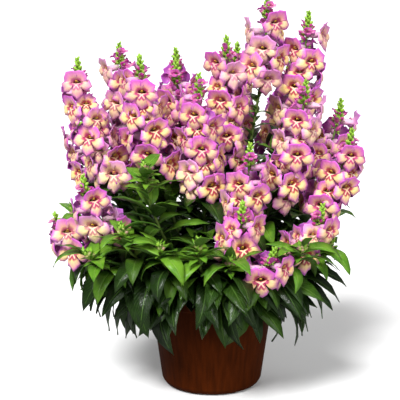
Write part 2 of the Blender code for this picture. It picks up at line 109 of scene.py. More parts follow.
# Packed stems
STEM_SIDES = 3
STEM_RADIUS = 3.3 * MM
STEM_TIP_RADIUS = 2.1 * MM
STEM_RINGS = 4
SHOOT_RINGS = 6
STEM_CLEARANCE = 0.9 * MM
ROOTED = 18 * MM
ROOTED_STRAIGHT = 29 * MM
CLEAR_OF_RIM = 78 * MM
CLUMP = 0.30
SPIRE = 22 * MM
SPIRE_RINGS = 2
SPIRE_KNOB = 4.2 * MM

# Packed leaves
LEAF_LENGTH = 68 * MM
LEAF_WIDTH = 22 * MM
LEAF_KEEL = 1.1 * MM
LEAF_ROOT_DEPTH = 1.7 * MM
LEAF_WIDEST = 0.42
LEAF_SPACING = 18.5 * MM
LOWEST_LEAF = 10 * MM
LOWEST_INNER_LEAF = 60 * MM
INNER_CLUMP = 100 * MM
BUSHY_TOP = 250 * MM
LEAF_CLEARANCE = 0.6 * MM
DROOPS = (15, 45, 75, 105)

# Packed blooms: the face is about 40 mm across
BLOOM_THROAT = 21 * MM
THROAT_RADIUS = 6.2 * MM
TUBE_RADIUS = 1.1 * MM
PETAL_THICKNESS = 1.8 * MM
THROAT_DEPTH = 8 * MM
SLEEVE_WALL = 0.9 * MM
BLOOM_SPACING = 15 * MM
BACK_BLOOM_SPACING = 27 * MM
BLOOM_SPREAD = 90
SNUG = 0.90
# Each lobe: middle angle round the throat, half angle, reach and forward lean of its edge
LOBES = (
    ("upper right", 52, 34, 20.5 * MM, 5.5 * MM),
    ("upper left", 128, 34, 20.5 * MM, 5.5 * MM),
    ("side left", 196, 30, 19.5 * MM, 2.0 * MM),
    ("lower middle", 270, 27, 20.0 * MM, 1.0 * MM),
    ("side right", 344, 30, 19.5 * MM, 2.0 * MM),
)
NOTCH_REACH = 0.56
CREST_NOTCH_REACH = 0.80

SEED = 2207
GOLDEN_TURN = 137.5

# Flowering stems: tip in millimetres, length of the head of blooms, and the way it faces,
# in degrees from the front, positive to the right
FLOWERING = (
    ("left_tall", (-170, -14, 432), 140, -35),
    ("left_rear", (-120, 30, 446), 124, -15),
    ("left_middle", (-90, -52, 440), 118, -8),
    ("centre_left", (-46, 14, 425), 108, -5),
    ("centre_front", (-17, -58, 418), 124, 0),
    ("centre_tall", (18, 4, 458), 136, 8),
    ("tallest", (70, 12, 508), 76, 0),
    ("right_tall", (124, 34, 486), 108, 20),
    ("right_middle", (116, -44, 408), 136, 8),
    ("right_outer", (178, -16, 342), 98, 45),
    ("centre_low", (46, -84, 336), 80, 5),
    ("front_middle", (36, -124, 272), 52, 5),
    ("front_low", (74, -152, 222), 38, 5),
    ("right_low", (136, -94, 262), 60, 20),
    ("left_trailing", (-200, -50, 240), 46, -65),
    ("left_low", (-160, -84, 296), 62, -20),
    ("back_left", (-118, 104, 408), 104, -150),
    ("back_centre_left", (-48, 96, 432), 108, 180),
    ("back_centre_right", (34, 88, 440), 108, 172),
    ("back_right", (106, 112, 412), 102, 150),
    ("right_rear", (172, 66, 368), 84, 105),
    ("left_back_outer", (-178, 62, 348), 78, -105),
)

BACK_STEMS = (
    "stem_back_left",
    "stem_back_centre_left",
    "stem_back_centre_right",
    "stem_back_right",
)

# Leafy shoots: tip in millimetres
SHOOTS = (
    ("front_left", (-112, -132, 244)),
    ("front_mid_left", (-66, -150, 226)),
    ("front_centre", (-18, -156, 232)),
    ("front_mid_right", (22, -150, 206)),
    ("front_right", (112, -140, 224)),
    ("right", (150, -92, 214)),
    ("right_side", (160, 24, 224)),
    ("left", (-158, -122, 208)),
    ("left_side", (-186, 20, 232)),
    ("inner_left", (-84, -108, 316)),
    ("back_left", (-126, 138, 246)),
    ("back_middle", (-48, 168, 262)),
    ("back_mid_right", (44, 166, 250)),
    ("back_right", (124, 136, 250)),
)

# Fine pot and crumbs of soil
CORNER_ROUNDING = 1.2 * MM
DRILL_SIDES = 32
DRILL_PROFILE = (
    (0.0, 2 * FLOOR_LIFT),
    (DRAIN_RADIUS, 2 * FLOOR_LIFT),
    (DRAIN_RADIUS, -1 * MM),
    (0.0, -1 * MM),
)
SHARP_FROM = math.radians(40)
CRUMB_KINDS = 4
CRUMB_RADIUS = 2.4 * MM
CRUMB_SIZES = (0.35, 1.0)
LEVEL_ENOUGH = 0.6
BELOW_TOP = 2 * MM

# Fine leaves: a blade has unit length and width
LEAF_ROWS = 8
LEAF_COLUMNS = 2
LEAF_BLADE = 0.0075
LEAF_WAVES = 3
LEAF_EDGE_WAVE = 0.011
LEAF_TWIST = 0.35
LEAF_LEAN = 0.05
LEAF_CUP = 0.32
FINE_WIDTH = 1.06
WHOLE_TURN = 6.28

# Fine blooms: rows of the tube as distance and radius in millimetres, and shares of a lobe's reach
BLOOM_COLUMNS = 6
TUBE_ROWS = ((4.0, 3.2), (13.0, 4.8), (21.0, 6.2))
LOBE_ROWS = (0.14, 0.36, 0.62, 0.86, 1.0)
NOTCH_ANGLES = (18, 90, 162, 233, 307, 378)
LOBE_WRAP = 130
PALATE_FORWARD = 2.4 * MM
PALATE_RISE = 0.9
HOOD_FALL = 0.42
EDGE_WAVE = 0.085
EDGE_RIPPLE = 0.03
EDGE_FALL = 3.0 * MM
EDGE_FALL_FROM = 0.6
SIDE_CURL = 2.2 * MM
SHUT_LEAN = 12
PETAL_BLADE = 0.55 * MM
OPEN_VARIANTS = 5
HALF_OPEN_VARIANTS = 2
HALF_OPEN = (0.62, 0.92, 0.92)
BLOOM_GROWTH = 1.07
HALF_OPEN_GROWTH = 1.08

# How a fine lobe opens: its angle in degrees, how its middle bulges and its edge and sides bend
FineLobe = namedtuple("FineLobe", "half_width growth centre opening bulge edge_fall curl")
UPPER_LOBE = FineLobe(10.8 * MM, 0.97, 0.42, 70, 0.8 * MM, 0.4, 1.0)
SIDE_LOBE = FineLobe(8.8 * MM, 1.15, 0.56, 82, 3.4 * MM, 1.0, -0.2)
MIDDLE_LOBE = FineLobe(8.2 * MM, 1.08, 0.56, 90, 3.4 * MM, 1.0, -0.2)
FINE_LOBES = (UPPER_LOBE, UPPER_LOBE, SIDE_LOBE, MIDDLE_LOBE, SIDE_LOBE)

# The star at a bloom's mouth: angles of its right arms, and fading edges in throat radii
STAR_ARMS = (-52, 22)
STAR_FALL = 0.34
ARM_START = (-0.1, 0.05)
RIDGE_WIDTH = (0.17, 0.07)
RIDGE_LENGTH = (1.2, 0.85)
FLANK_WIDTH = (0.66, 0.38)
FLANK_LENGTH = (1.6, 1.05)

# Anthers: side, height and distance from the stem in millimetres
ANTHER_HEADS = ((-1.5, 1.2, 20.5), (1.5, 1.2, 20.5), (-0.9, 3.0, 22.0), (0.9, 3.0, 22.0))

# Buds, bracts and young leaves at the stems' ends
PATH_STEPS = 26
STALK_SHARE = 0.62
SPIRE_BUDS = 20
SPIRE_SINK = 7 * MM
SPIRE_RIPE = 0.42
BRACT_RUN = 70 * MM
BRACT_SPACING = 4.5 * MM
ROSETTE_LEAVES = 24
ROSETTE_RUN = 30
ROSETTE_BUDS = 16
ROSETTE_BUD_RUN = 13

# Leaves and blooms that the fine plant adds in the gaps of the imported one
FILL_LOWEST = 8 * MM
FILL_LOWEST_INNER = 40 * MM
FILL_SPACING = (7 * MM, 11 * MM)
FILL_BLOOM_SPACING = 6 * MM
FILL_SNUG = 0.8
SLIM = 0.6
SLIM_START = 0.16
SKIRT_COUNT = 15
LOW_COUNT = 4
LOW_HEAD = 0.26
FAR_OUT = 0.14
BOX_SPARE = 12 * MM
FILL_TRIES = [
    (turn, bend, lift, shorter)
    for shorter in (1.0, 0.75, 0.55)
    for turn in (0, 22, -22, 50, -50, 85, -85)
    for bend, lift in ((0, 0), (-1, 16), (0, -18))
]
FILL_BLOOM_TRIES = [
    (turn, lift, smaller)
    for smaller in (1.0, 0.86, 0.72)
    for turn in (0, 20, -20, 42, -42, 66, -66)
    for lift in (0, 15, -15)
]

# What lies in each point's "sort" attribute, and in its "kind" attribute for buds
STALK, LEAF, BUD = 0, 1, 2
CALYX, ROUND_BUD, LONG_BUD = 0, 1, 2

# Stage: each lamp's azimuth, height, share of the main light's strength and spread; where the
# camera aims; and how much of its light the floor sends to the camera and to the plant
LAMPS = {"key": (-24, 50, 1.0, 22), "fill": (34, 22, 0.3, 40), "rear": (175, 42, 0.16, 30)}
AIM = Vector((-0.0156, 0, 0.246))
HALF_VIEW = 0.26
FLOOR_SIDE = 30.0
FLOOR_DROP = 0.5 * MM
ROOM_LIGHT = 0.2
FLOOR_SEEN = 0.9
FLOOR_THROWN = 0.35


def rotation(azimuth, pitch, roll=0.0):
    """Turns local +X to the given direction: azimuth from the front, pitch above the horizon."""
    heading = math.radians(azimuth - 90)
    return (
        Matrix.Rotation(heading, 3, "Z")
        @ Matrix.Rotation(-math.radians(pitch), 3, "Y")
        @ Matrix.Rotation(math.radians(roll), 3, "X")
    )


def azimuth_of(vector):
    return math.degrees(math.atan2(vector.x, -vector.y))


class Stem:
    """One stem's curve from the soil to its tip, and what grows on it."""

    def __init__(self, name, tip, head_length=0.0, face=None, shift=(0, 0)):
        self.name = name
        self.tip = Vector(tip) * MM
        flat = Vector((self.tip.x, self.tip.y, 0))
        base = flat * CLUMP + Vector((*shift, 0)) * MM
        base.z = SOIL_TOP - ROOTED
        rise = self.tip.z - base.z
        self.ends = (
            base,
            base + Vector((0, 0, max(0.42 * rise, CLEAR_OF_RIM))) + 0.08 * flat,
            self.tip - Vector((0, 0, min(0.42 * rise, rise - CLEAR_OF_RIM))) - 0.02 * flat,
            self.tip,
        )
        self.face = azimuth_of(self.tip) if face is None else face
        self.samples = [self.at(i / 60) for i in range(61)]
        self.length = sum((b - a).length for a, b in zip(self.samples, self.samples[1:]))
        self.spire = SPIRE if head_length else 0.0
        top = self.length - self.spire
        low = top - head_length * MM
        self.head = (low, top) if head_length else None
        count = STEM_RINGS if head_length else SHOOT_RINGS
        below = [low * k / (count - 1) for k in range(1, count)]
        self.stations = [0.0, ROOTED_STRAIGHT, *(d for d in below if d > 2 * ROOTED)]
        if head_length:
            self.stations += [(low + top) / 2, top, self.length]
        self.knots = [self.smooth(d)[0] for d in self.stations]
        self.blooms = []
        self.leaves = []

    def at(self, t):
        a, b, c, d = self.ends
        u = 1 - t
        return a * u**3 + b * (3 * u * u * t) + c * (3 * u * t * t) + d * t**3

    def along(self, distance):
        """Point on the faceted stem's middle line at a distance from the rooted end."""
        spans = zip(self.stations, self.stations[1:], self.knots, self.knots[1:])
        for low, high, a, b in spans:
            if distance <= high or high == self.stations[-1]:
                return a.lerp(b, (distance - low) / (high - low))

    def smooth(self, distance):
        """Point and direction on the smooth curve at a distance from the rooted end."""
        for a, b in zip(self.samples, self.samples[1:]):
            step = (b - a).length
            if distance <= step or b is self.samples[-1]:
                return a.lerp(b, min(distance / step, 1.0)), (b - a).normalized()
            distance -= step

    def radius(self, distance):
        share = min(distance / self.length, 1.0)
        return STEM_RADIUS + (STEM_TIP_RADIUS - STEM_RADIUS) * share**2


def ring(stem, distance, radius):
    """Points round the stem, square to its run."""
    centre, run = stem.along(distance), stem.smooth(distance)[1]
    side = run.cross(Vector((0, 1, 0))).normalized()
    front = side.cross(run)
    angles = (2 * math.pi * i / STEM_SIDES for i in range(STEM_SIDES))
    return [centre + radius * (math.cos(a) * side + math.sin(a) * front) for a in angles]


def bridged(rings, cap_start=True, cap_end=True):
    """Vertices and faces of a tube through rings of equal count; a ring of one point is a tip."""
    points = [p for r in rings for p in r]
    starts = [sum(len(r) for r in rings[:k]) for k in range(len(rings))]
    faces = []
    for k in range(len(rings) - 1):
        a, b = starts[k], starts[k + 1]
        n = len(rings[k])
        for i in range(n):
            j = (i + 1) % n
            if len(rings[k + 1]) == 1:
                faces.append((a + i, a + j, b))
            else:
                faces.append((a + i, a + j, b + j, b + i))
    if cap_start:
        faces.append(tuple(reversed(range(len(rings[0])))))
    if cap_end and len(rings[-1]) > 1:
        faces.append(tuple(starts[-1] + i for i in range(len(rings[-1]))))
    return points, faces


def stem_shape(stem, grow=0.0):
    """A three-sided rod that ends in a point, or in a spire of knobs that stand for its buds."""
    stations = stem.stations[:-1]
    rings = [ring(stem, d, stem.radius(d) + grow) for d in stations]
    for k in range(1, SPIRE_RINGS + 1 if stem.spire else 1):
        share = k / (SPIRE_RINGS + 1)
        distance = stem.length - stem.spire * (1 - share)
        knob = SPIRE_KNOB * (1 - share) ** 0.7
        points = []
        for i in range(STEM_SIDES):
            out = (i + k) % 2
            radius = STEM_TIP_RADIUS + (knob if out else 0) + grow
            lift = 2 * MM if out else -1 * MM
            points.append(ring(stem, distance + lift, radius)[i])
        rings.append(points)
    tip = stem.along(stem.length)
    rings.append([tip + grow * (tip - stem.along(stem.length - 1 * MM)).normalized()])
    return bridged(rings)


def midrib(droop, t):
    """Point and upward normal of a midrib of unit length that bends down by droop degrees."""
    bend = math.radians(droop)
    x = math.sin(bend * t) / bend
    z = -(1 - math.cos(bend * t)) / bend
    return Vector((x, 0, z)), Vector((math.sin(bend * t), 0, math.cos(bend * t)))


def leaf_shape(length, width, droop, start=0.0, extra=0.0):
    """A kite-shaped blade, flat above and keeled below, from an upright wedge to a point."""
    point, normal = midrib(droop, start)
    depth = LEAF_ROOT_DEPTH / 2 + extra
    points = [point * length + normal * depth, point * length - normal * depth]
    point, normal = midrib(droop, LEAF_WIDEST)
    side = Vector((0, width / 2 + extra, 0))
    top = point * length + normal * (0.35 * MM + extra)
    points += [top + side, top - side, top - normal * (LEAF_KEEL + 2 * extra)]
    points.append(midrib(droop, 1.0)[0] * length)
    faces = [(0, 3, 2), (0, 2, 1), (0, 1, 3), (1, 2, 4), (1, 4, 3)]
    faces += [(2, 3, 5), (3, 4, 5), (4, 2, 5)]
    return points, faces


def bloom_shape(size, start, grow=1.0):
    """A five-sided tube that opens into two upper and three lower lobes, with a hollow throat."""
    notches = []
    for (_, middle, half, *_), (_, after, *_) in zip(LOBES, LOBES[1:] + LOBES[:1]):
        notches.append(math.radians(middle + half if after < middle else (middle + after) / 2))
    notches[-1] = math.radians(378)

    def on_face(angle, reach, x):
        return Vector((x, math.cos(angle) * reach, math.sin(angle) * reach)) * size

    share = max(start / (size * BLOOM_THROAT) - 0.15, 0.0) / 0.85
    narrow = TUBE_RADIUS + (THROAT_RADIUS - TUBE_RADIUS) * share
    base = [on_face(math.radians(a), narrow * grow, start / size) for a in (90, 210, 330)]
    mouth = [on_face(a, THROAT_RADIUS * grow, BLOOM_THROAT) for a in notches]
    front = [
        on_face(a, THROAT_RADIUS * 0.86, BLOOM_THROAT + PETAL_THICKNESS) for a in notches
    ]
    pit = on_face(0, 0, BLOOM_THROAT - THROAT_DEPTH)
    points = base + mouth + front + [pit]
    faces = [(0, 2, 1), (0, 3, 4), (0, 4, 1), (1, 4, 5), (1, 5, 2)]
    faces += [(2, 5, 6), (2, 6, 7), (2, 7, 0), (0, 7, 3)]
    faces += [(8 + i, 8 + (i + 1) % 5, 13) for i in range(5)]
    first = len(points)
    for k in range(5):
        _, middle, half, reach, lean = LOBES[k]
        crest = k == 0
        notch_reach = LOBES[k][3] * (CREST_NOTCH_REACH if crest else NOTCH_REACH)
        x = BLOOM_THROAT + PETAL_THICKNESS / 2 + lean
        for side in (-0.56, 0.56):
            angle = math.radians(middle + side * half)
            points.append(on_face(angle, reach * grow, x))
        points.append(on_face(notches[k], notch_reach * grow, x - lean * 0.4))
    for k in range(5):
        before, here = (k - 1) % 5, k
        a, b, c, d = first + 3 * before + 2, first + 3 * k, first + 3 * k + 1, first + 3 * k + 2
        back_a, back_b, front_a, front_b = 3 + before, 3 + here, 8 + before, 8 + here
        faces += [(back_a, b, a), (back_a, back_b, b), (back_b, c, b), (back_b, d, c)]
        faces += [(front_a, a, b), (front_a, b, c), (front_a, c, front_b), (front_b, c, d)]
    return points, faces


def placed_at(shape, turned, origin):
    points, faces = shape
    return [turned @ p + origin for p in points], faces


class Garden:
    """Everything placed so far, for the test that a new piece is clear of it."""

    def __init__(self):
        self.pieces = []

    def tree(self, shape):
        points, faces = shape
        centre = sum(points, Vector()) / len(points)
        reach = max((p - centre).length for p in points)
        return BVHTree.FromPolygons(points, faces), centre, reach

    def add(self, shape, owner):
        self.pieces.append((*self.tree(shape), owner))

    def clear(self, shape, *skipped, only=None):
        tree, centre, reach = self.tree(shape)
        for other, middle, radius, owner in self.pieces:
            if owner in skipped or (only and owner != only):
                continue
            if (centre - middle).length > reach + radius:
                continue
            if tree.overlap(other):
                return False
        return True


def sleeve_radii(stem, distance):
    """Corner radii of the sleeve's hole, of the middle of its wall and of its outside."""
    corner = 1 / math.cos(math.pi / STEM_SIDES)
    hole = stem.radius(distance) + GAP * corner
    return hole, hole + SLEEVE_WALL * corner / 2, hole + SLEEVE_WALL * corner


def sleeve_shape(stem):
    """The thin sleeve that joins a head's blooms and leaves the stem free inside."""
    low, high = stem.head
    distances = [low, (low + high) / 2, high]
    hole = [ring(stem, d, sleeve_radii(stem, d)[0]) for d in distances]
    skin = [ring(stem, d, sleeve_radii(stem, d)[2]) for d in distances]
    points = [p for r in skin + hole for p in r]
    n = STEM_SIDES
    inner = n * len(distances)
    top = inner - n
    faces = []
    for i in range(n):
        j = (i + 1) % n
        for a in range(0, top, n):
            b = a + n
            faces.append((a + i, a + j, b + j, b + i))
            faces.append((inner + a + j, inner + a + i, inner + b + i, inner + b + j))
        faces.append((j, i, inner + i, inner + j))
        faces.append((top + i, top + j, inner + top + j, inner + top + i))
    return points, faces


def root_depth(stem, distance, direction):
    """How far from the stem's middle line the sleeve's wall lies in a direction."""
    centre = stem.along(distance)
    corners = ring(stem, distance, sleeve_radii(stem, distance)[1])
    reaches = []
    for a, b in zip(corners, corners[1:] + corners[:1]):
        square = (a + b) / 2 - centre
        facing = direction.dot(square.normalized())
        if facing > 0.1:
            reaches.append(square.length / facing)
    return min(reaches)


def bloom_tries():
    """Turn, lift and shrinking of each try, the mildest changes first."""
    tries = []
    for turn in (0, 15, -15, 30, -30, 48, -48, 70, -70, 95, -95):
        for lift in (0, 14, -14):
            for smaller in (1.0, 0.9, 0.8):
                cost = abs(turn) / 30 + abs(lift) / 20 + 6 * (1 - smaller)
                tries.append((cost, turn, lift, smaller))
    return [t[1:] for t in sorted(tries)]


BLOOM_TRIES = bloom_tries()


def clear_in_head(garden, stem, snug, mouth, whole):
    """Petals may meet within a head, and only a bloom's root may touch the stem."""
    head = stem.name + " head"
    return (
        garden.clear(snug, only=head)
        and garden.clear(mouth, head)
        and garden.clear(whole, head, stem.name)
    )


def grow_blooms(stem, garden, draw):
    """Open blooms up the head, the lowest largest; their petals may meet within the head."""
    low, high = stem.head
    spacing = BACK_BLOOM_SPACING if stem.name in BACK_STEMS else BLOOM_SPACING
    count = round((high - low) / spacing)
    phase = draw.random()
    for i in range(count):
        distance = low + (high - low) * (i + 0.5) / count
        origin = stem.along(distance)
        share = (phase + i * 0.618) % 1.0
        wish = stem.face + BLOOM_SPREAD * (2 * share - 1)
        size = 1.0 - 0.16 * i / count
        pitch = draw.uniform(-14, 4)
        roll = draw.uniform(-9, 9)
        for turn, lift, smaller in BLOOM_TRIES:
            turned = rotation(wish + turn, pitch + lift, roll)
            whole = bloom_shape(size * smaller, 3 * MM, 1.04)
            mouth = bloom_shape(size * smaller, 8 * MM, 1.04)
            snug = bloom_shape(size * smaller * SNUG, 8 * MM)
            shapes = (placed_at(shape, turned, origin) for shape in (snug, mouth, whole))
            if clear_in_head(garden, stem, *shapes):
                break
        else:
            continue
        root = root_depth(stem, distance, turned @ Vector((1, 0, 0)))
        stem.blooms.append((origin, turned, size * smaller, root))
        shape = bloom_shape(size * smaller, root)
        garden.add(placed_at(shape, turned, origin), stem.name + " head")


def leaf_slots(stem, draw):
    """Distance, length, azimuth and height share of each leaf, from the soil upwards."""
    top = (stem.head[0] if stem.head else stem.length) - 6 * MM
    outer = math.hypot(stem.tip.x, stem.tip.y) > INNER_CLUMP
    distance = ROOTED + (LOWEST_LEAF if outer else LOWEST_INNER_LEAF)
    azimuth = draw.uniform(0, 360)
    out = azimuth_of(stem.tip)
    slots = []
    while distance < top:
        point = stem.along(distance)
        share = (point.z - SOIL_TOP) / (BUSHY_TOP - SOIL_TOP)
        length = LEAF_LENGTH * draw.uniform(0.86, 1.1)
        spacing = LEAF_SPACING if outer else 1.35 * LEAF_SPACING
        if share > 1:
            length *= max(0.42, 1 - 1.1 * (share - 1))
            spacing *= 1.7
        if not stem.head:
            length *= 1 - 0.45 * ((distance - ROOTED) / (top - ROOTED)) ** 3
            spacing *= 0.74
        swing = (azimuth + 180) % 360 - 180
        slots.append((distance, length, out + swing * (0.72 if outer else 1.0), share))
        azimuth += GOLDEN_TURN
        distance += spacing
    return slots


def leaf_tries():
    """Turn, change of bend, lift and shortening of each try, the mildest changes first."""
    tries = []
    for turn in (0, 16, -16, 34, -34, 55, -55, 80, -80):
        for bend, lift in ((0, 0), (0, 14), (-1, 14), (1, -12), (-1, 32), (0, -20)):
            for shorter in (1.0, 0.82, 0.64):
                cost = abs(turn) / 30 + abs(lift) / 25 + 3.2 * (1 - shorter)
                tries.append((cost, turn, bend, lift, shorter))
    return [t[1:] for t in sorted(tries)]


def grow_leaves(stem, garden, draw):
    for distance, length, wish, share in leaf_slots(stem, draw):
        origin = stem.along(distance)
        width = LEAF_WIDTH * length / LEAF_LENGTH * draw.uniform(0.9, 1.08)
        young = not stem.head and distance > 0.72 * stem.length
        pitch = (48 if young else 16 + 26 * min(share, 1.0)) + draw.uniform(-8, 8)
        roll = draw.uniform(-16, 16)
        first = 1 if young or share > 0.75 else 2
        for turn, bend, lift, shorter in LEAF_TRIES:
            bend = min(max(first + bend, 0), len(DROOPS) - 1)
            turned = rotation(wish + turn, pitch + lift, roll)
            long, wide = length * shorter, width * (0.4 + 0.6 * shorter)
            whole = leaf_shape(long, wide, DROOPS[bend], 0, LEAF_CLEARANCE)
            blade = leaf_shape(long, wide, DROOPS[bend], 0.13, LEAF_CLEARANCE)
            if garden.clear(placed_at(blade, turned, origin)) and garden.clear(
                placed_at(whole, turned, origin), stem.name
            ):
                stem.leaves.append((origin, turned, long, wide, DROOPS[bend], share))
                shape = leaf_shape(long, wide, DROOPS[bend])
                garden.add(placed_at(shape, turned, origin), stem.name)
                break


LEAF_TRIES = leaf_tries()


def rooted_clear(garden, *row):
    """The stem with the smallest shift of its root that keeps it clear of the others."""
    steps = [(x, y) for x in range(-12, 13, 3) for y in range(-12, 13, 3)]
    for shift in sorted(steps, key=lambda s: s[0] ** 2 + s[1] ** 2 + 0.01 * s[0]):
        stem = Stem(*row, shift=shift)
        shape = stem_shape(stem, STEM_CLEARANCE)
        if garden.clear(shape):
            garden.add(shape, stem.name)
            if stem.head:
                garden.add(sleeve_shape(stem), stem.name)
            return stem
    raise RuntimeError(f"no clear root for {row[0]}")


def grow_plant(pot, soil):
    """Every stem with its blooms and leaves."""
    draw = random.Random(SEED)
    garden = Garden()
    garden.add(pot, "pot")
    wanted = [("stem_" + name, *rest) for name, *rest in FLOWERING]
    wanted += [("shoot_" + name, *rest) for name, *rest in SHOOTS]
    stems = [rooted_clear(garden, *row) for row in wanted]
    flowering, shoots = stems[: len(FLOWERING)], stems[len(FLOWERING) :]
    garden.add(soil, "soil")
    for stem in flowering:
        grow_blooms(stem, garden, draw)
    for stem in shoots + flowering[::-1]:
        grow_leaves(stem, garden, draw)
    return flowering, shoots, garden


def pot_profile():
    """Outer side from the rim down, the foot and its recess, then the inner side back up."""
    taper = (RIM_RADIUS - LIP_OUT - FOOT_RADIUS) / POT_HEIGHT
    under_lip = POT_HEIGHT - LIP_HEIGHT
    foot_edge = FOOT_RADIUS - FOOT_ROUND
    return [
        (RIM_RADIUS, POT_HEIGHT),
        (RIM_RADIUS - 0.4 * MM, under_lip),
        (FOOT_RADIUS + taper * under_lip, under_lip - 1.5 * MM),
        (FOOT_RADIUS + taper * FOOT_ROUND, FOOT_ROUND),
        (FOOT_RADIUS - 0.3 * FOOT_ROUND, 0.3 * FOOT_ROUND),
        (foot_edge, 0.0),
        (foot_edge - FOOT_RING, 0.0),
        (foot_edge - FOOT_RING - FLOOR_LIFT / 2, FLOOR_LIFT / 2),
        (FOOT_BUTTON + FLOOR_LIFT / 2, FLOOR_LIFT / 2),
        (FOOT_BUTTON, 0.0),
        (0.0, 0.0),
        (0.0, FLOOR_LIFT / 2 + POT_WALL),
        (foot_edge, FLOOR_LIFT / 2 + POT_WALL),
        (FOOT_RADIUS - POT_WALL, FOOT_ROUND),
        (RIM_RADIUS - LIP_OUT - POT_WALL, under_lip),
        (RIM_RADIUS - POT_WALL, POT_HEIGHT),
    ]


def turned_solid(profile, sides):
    """Vertices and faces of a profile turned about the Z axis."""
    points, faces, rows = [], [], []
    for radius, height in profile:
        if radius == 0.0:
            rows.append([len(points)])
            points.append(Vector((0, 0, height)))
            continue
        rows.append(list(range(len(points), len(points) + sides)))
        for i in range(sides):
            a = 2 * math.pi * i / sides
            points.append(Vector((radius * math.cos(a), radius * math.sin(a), height)))
    for upper, lower in zip(rows, rows[1:] + rows[:1]):
        if len(upper) == len(lower) == 1:
            continue
        for i in range(sides):
            j = (i + 1) % sides
            if len(upper) == 1:
                faces.append((upper[0], lower[j], lower[i]))
            elif len(lower) == 1:
                faces.append((upper[i], upper[j], lower[0]))
            else:
                faces.append((upper[i], upper[j], lower[j], lower[i]))
    return points, faces


def soil_radius(height):
    """Radius of the pot's inner wall at a height, less the gap."""
    low, high = FOOT_ROUND, POT_HEIGHT - LIP_HEIGHT
    share = (height - low) / (high - low)
    inside = FOOT_RADIUS - POT_WALL
    return inside + share * (RIM_RADIUS - LIP_OUT - POT_WALL - inside) - 2 * GAP


def soil_profile():
    """Middle of the dome, the wall side downwards, and the underside."""
    floor = FLOOR_LIFT / 2 + POT_WALL + GAP
    return [
        (0.0, SOIL_TOP + SOIL_DOME),
        (soil_radius(SOIL_TOP), SOIL_TOP - 1 * MM),
        (soil_radius(1.6 * FOOT_ROUND), 1.6 * FOOT_ROUND),
        (FOOT_RADIUS - FOOT_ROUND - 2 * MM, floor),
        (0.0, floor),
    ]


def tone(code):
    """Linear colour of a six-digit code."""
    parts = (int(code[i : i + 2], 16) / 255 for i in (0, 2, 4))
    return tuple(c / 12.92 if c <= 0.04045 else ((c + 0.055) / 1.055) ** 2.4 for c in parts)


class PlantSettings(bpy.types.PropertyGroup):
    """Sizes and colours of the plant."""

    seed: bpy.props.IntProperty(
        name="Seed", description="Draw of the fine leaves, buds and tints", default=11, min=0
    )
    petal_wave: bpy.props.FloatProperty(
        name="Petal wave",
        description="Height of the waves along a petal's edge",
        default=1.7 * MM,
        unit="LENGTH",
    )
    leaf_fold: bpy.props.FloatProperty(
        name="Leaf fold",
        description="How far each half of a blade rises from its midrib",
        default=math.radians(19),
        subtype="ANGLE",
    )
    petal_edge: bpy.props.FloatVectorProperty(
        name="Petal edge",
        description="Colour of an open petal's edge",
        default=tone("C850C4"),
        subtype="COLOR",
        size=3,
    )
    petal_heart: bpy.props.FloatVectorProperty(
        name="Petal heart",
        description="Colour of the middle of a lower petal",
        default=tone("F8CC70"),
        subtype="COLOR",
        size=3,
    )
    leaf_colour: bpy.props.FloatVectorProperty(
        name="Leaf",
        description="Colour of a grown leaf",
        default=tone("182E09"),
        subtype="COLOR",
        size=3,
    )
    young_colour: bpy.props.FloatVectorProperty(
        name="Young leaf",
        description="Colour of a leaf near a shoot's tip",
        default=tone("94D03A"),
        subtype="COLOR",
        size=3,
    )


class PotSettings(bpy.types.PropertyGroup):
    """Sizes and colours of the pot and its soil."""

    sides: bpy.props.IntProperty(
        name="Sides", description="Facets round the pot", default=96, min=12
    )
    plastic: bpy.props.FloatVectorProperty(
        name="Plastic",
        description="Colour of the pot",
        default=tone("421903"),
        subtype="COLOR",
        size=3,
    )
    crumbs: bpy.props.FloatProperty(
        name="Crumbs",
        description="Crumbs of soil for each square metre of its top",
        default=26000.0,
        min=0,
    )
    crumb_seed: bpy.props.IntProperty(
        name="Crumb seed", description="Draw of the crumbs", default=5, min=0
    )


class StageSettings(bpy.types.PropertyGroup):
    """The camera and the light."""

    distance: bpy.props.FloatProperty(
        name="Distance",
        description="From the camera to the plant's middle",
        default=1.7,
        unit="LENGTH",
    )
    elevation: bpy.props.FloatProperty(
        name="Elevation",
        description="Height of the camera above the horizon",
        default=math.radians(13),
        subtype="ANGLE",
    )
    light: bpy.props.FloatProperty(
        name="Light", description="Strength of the main light, in watts a square metre", default=4.9
    )


# Materials


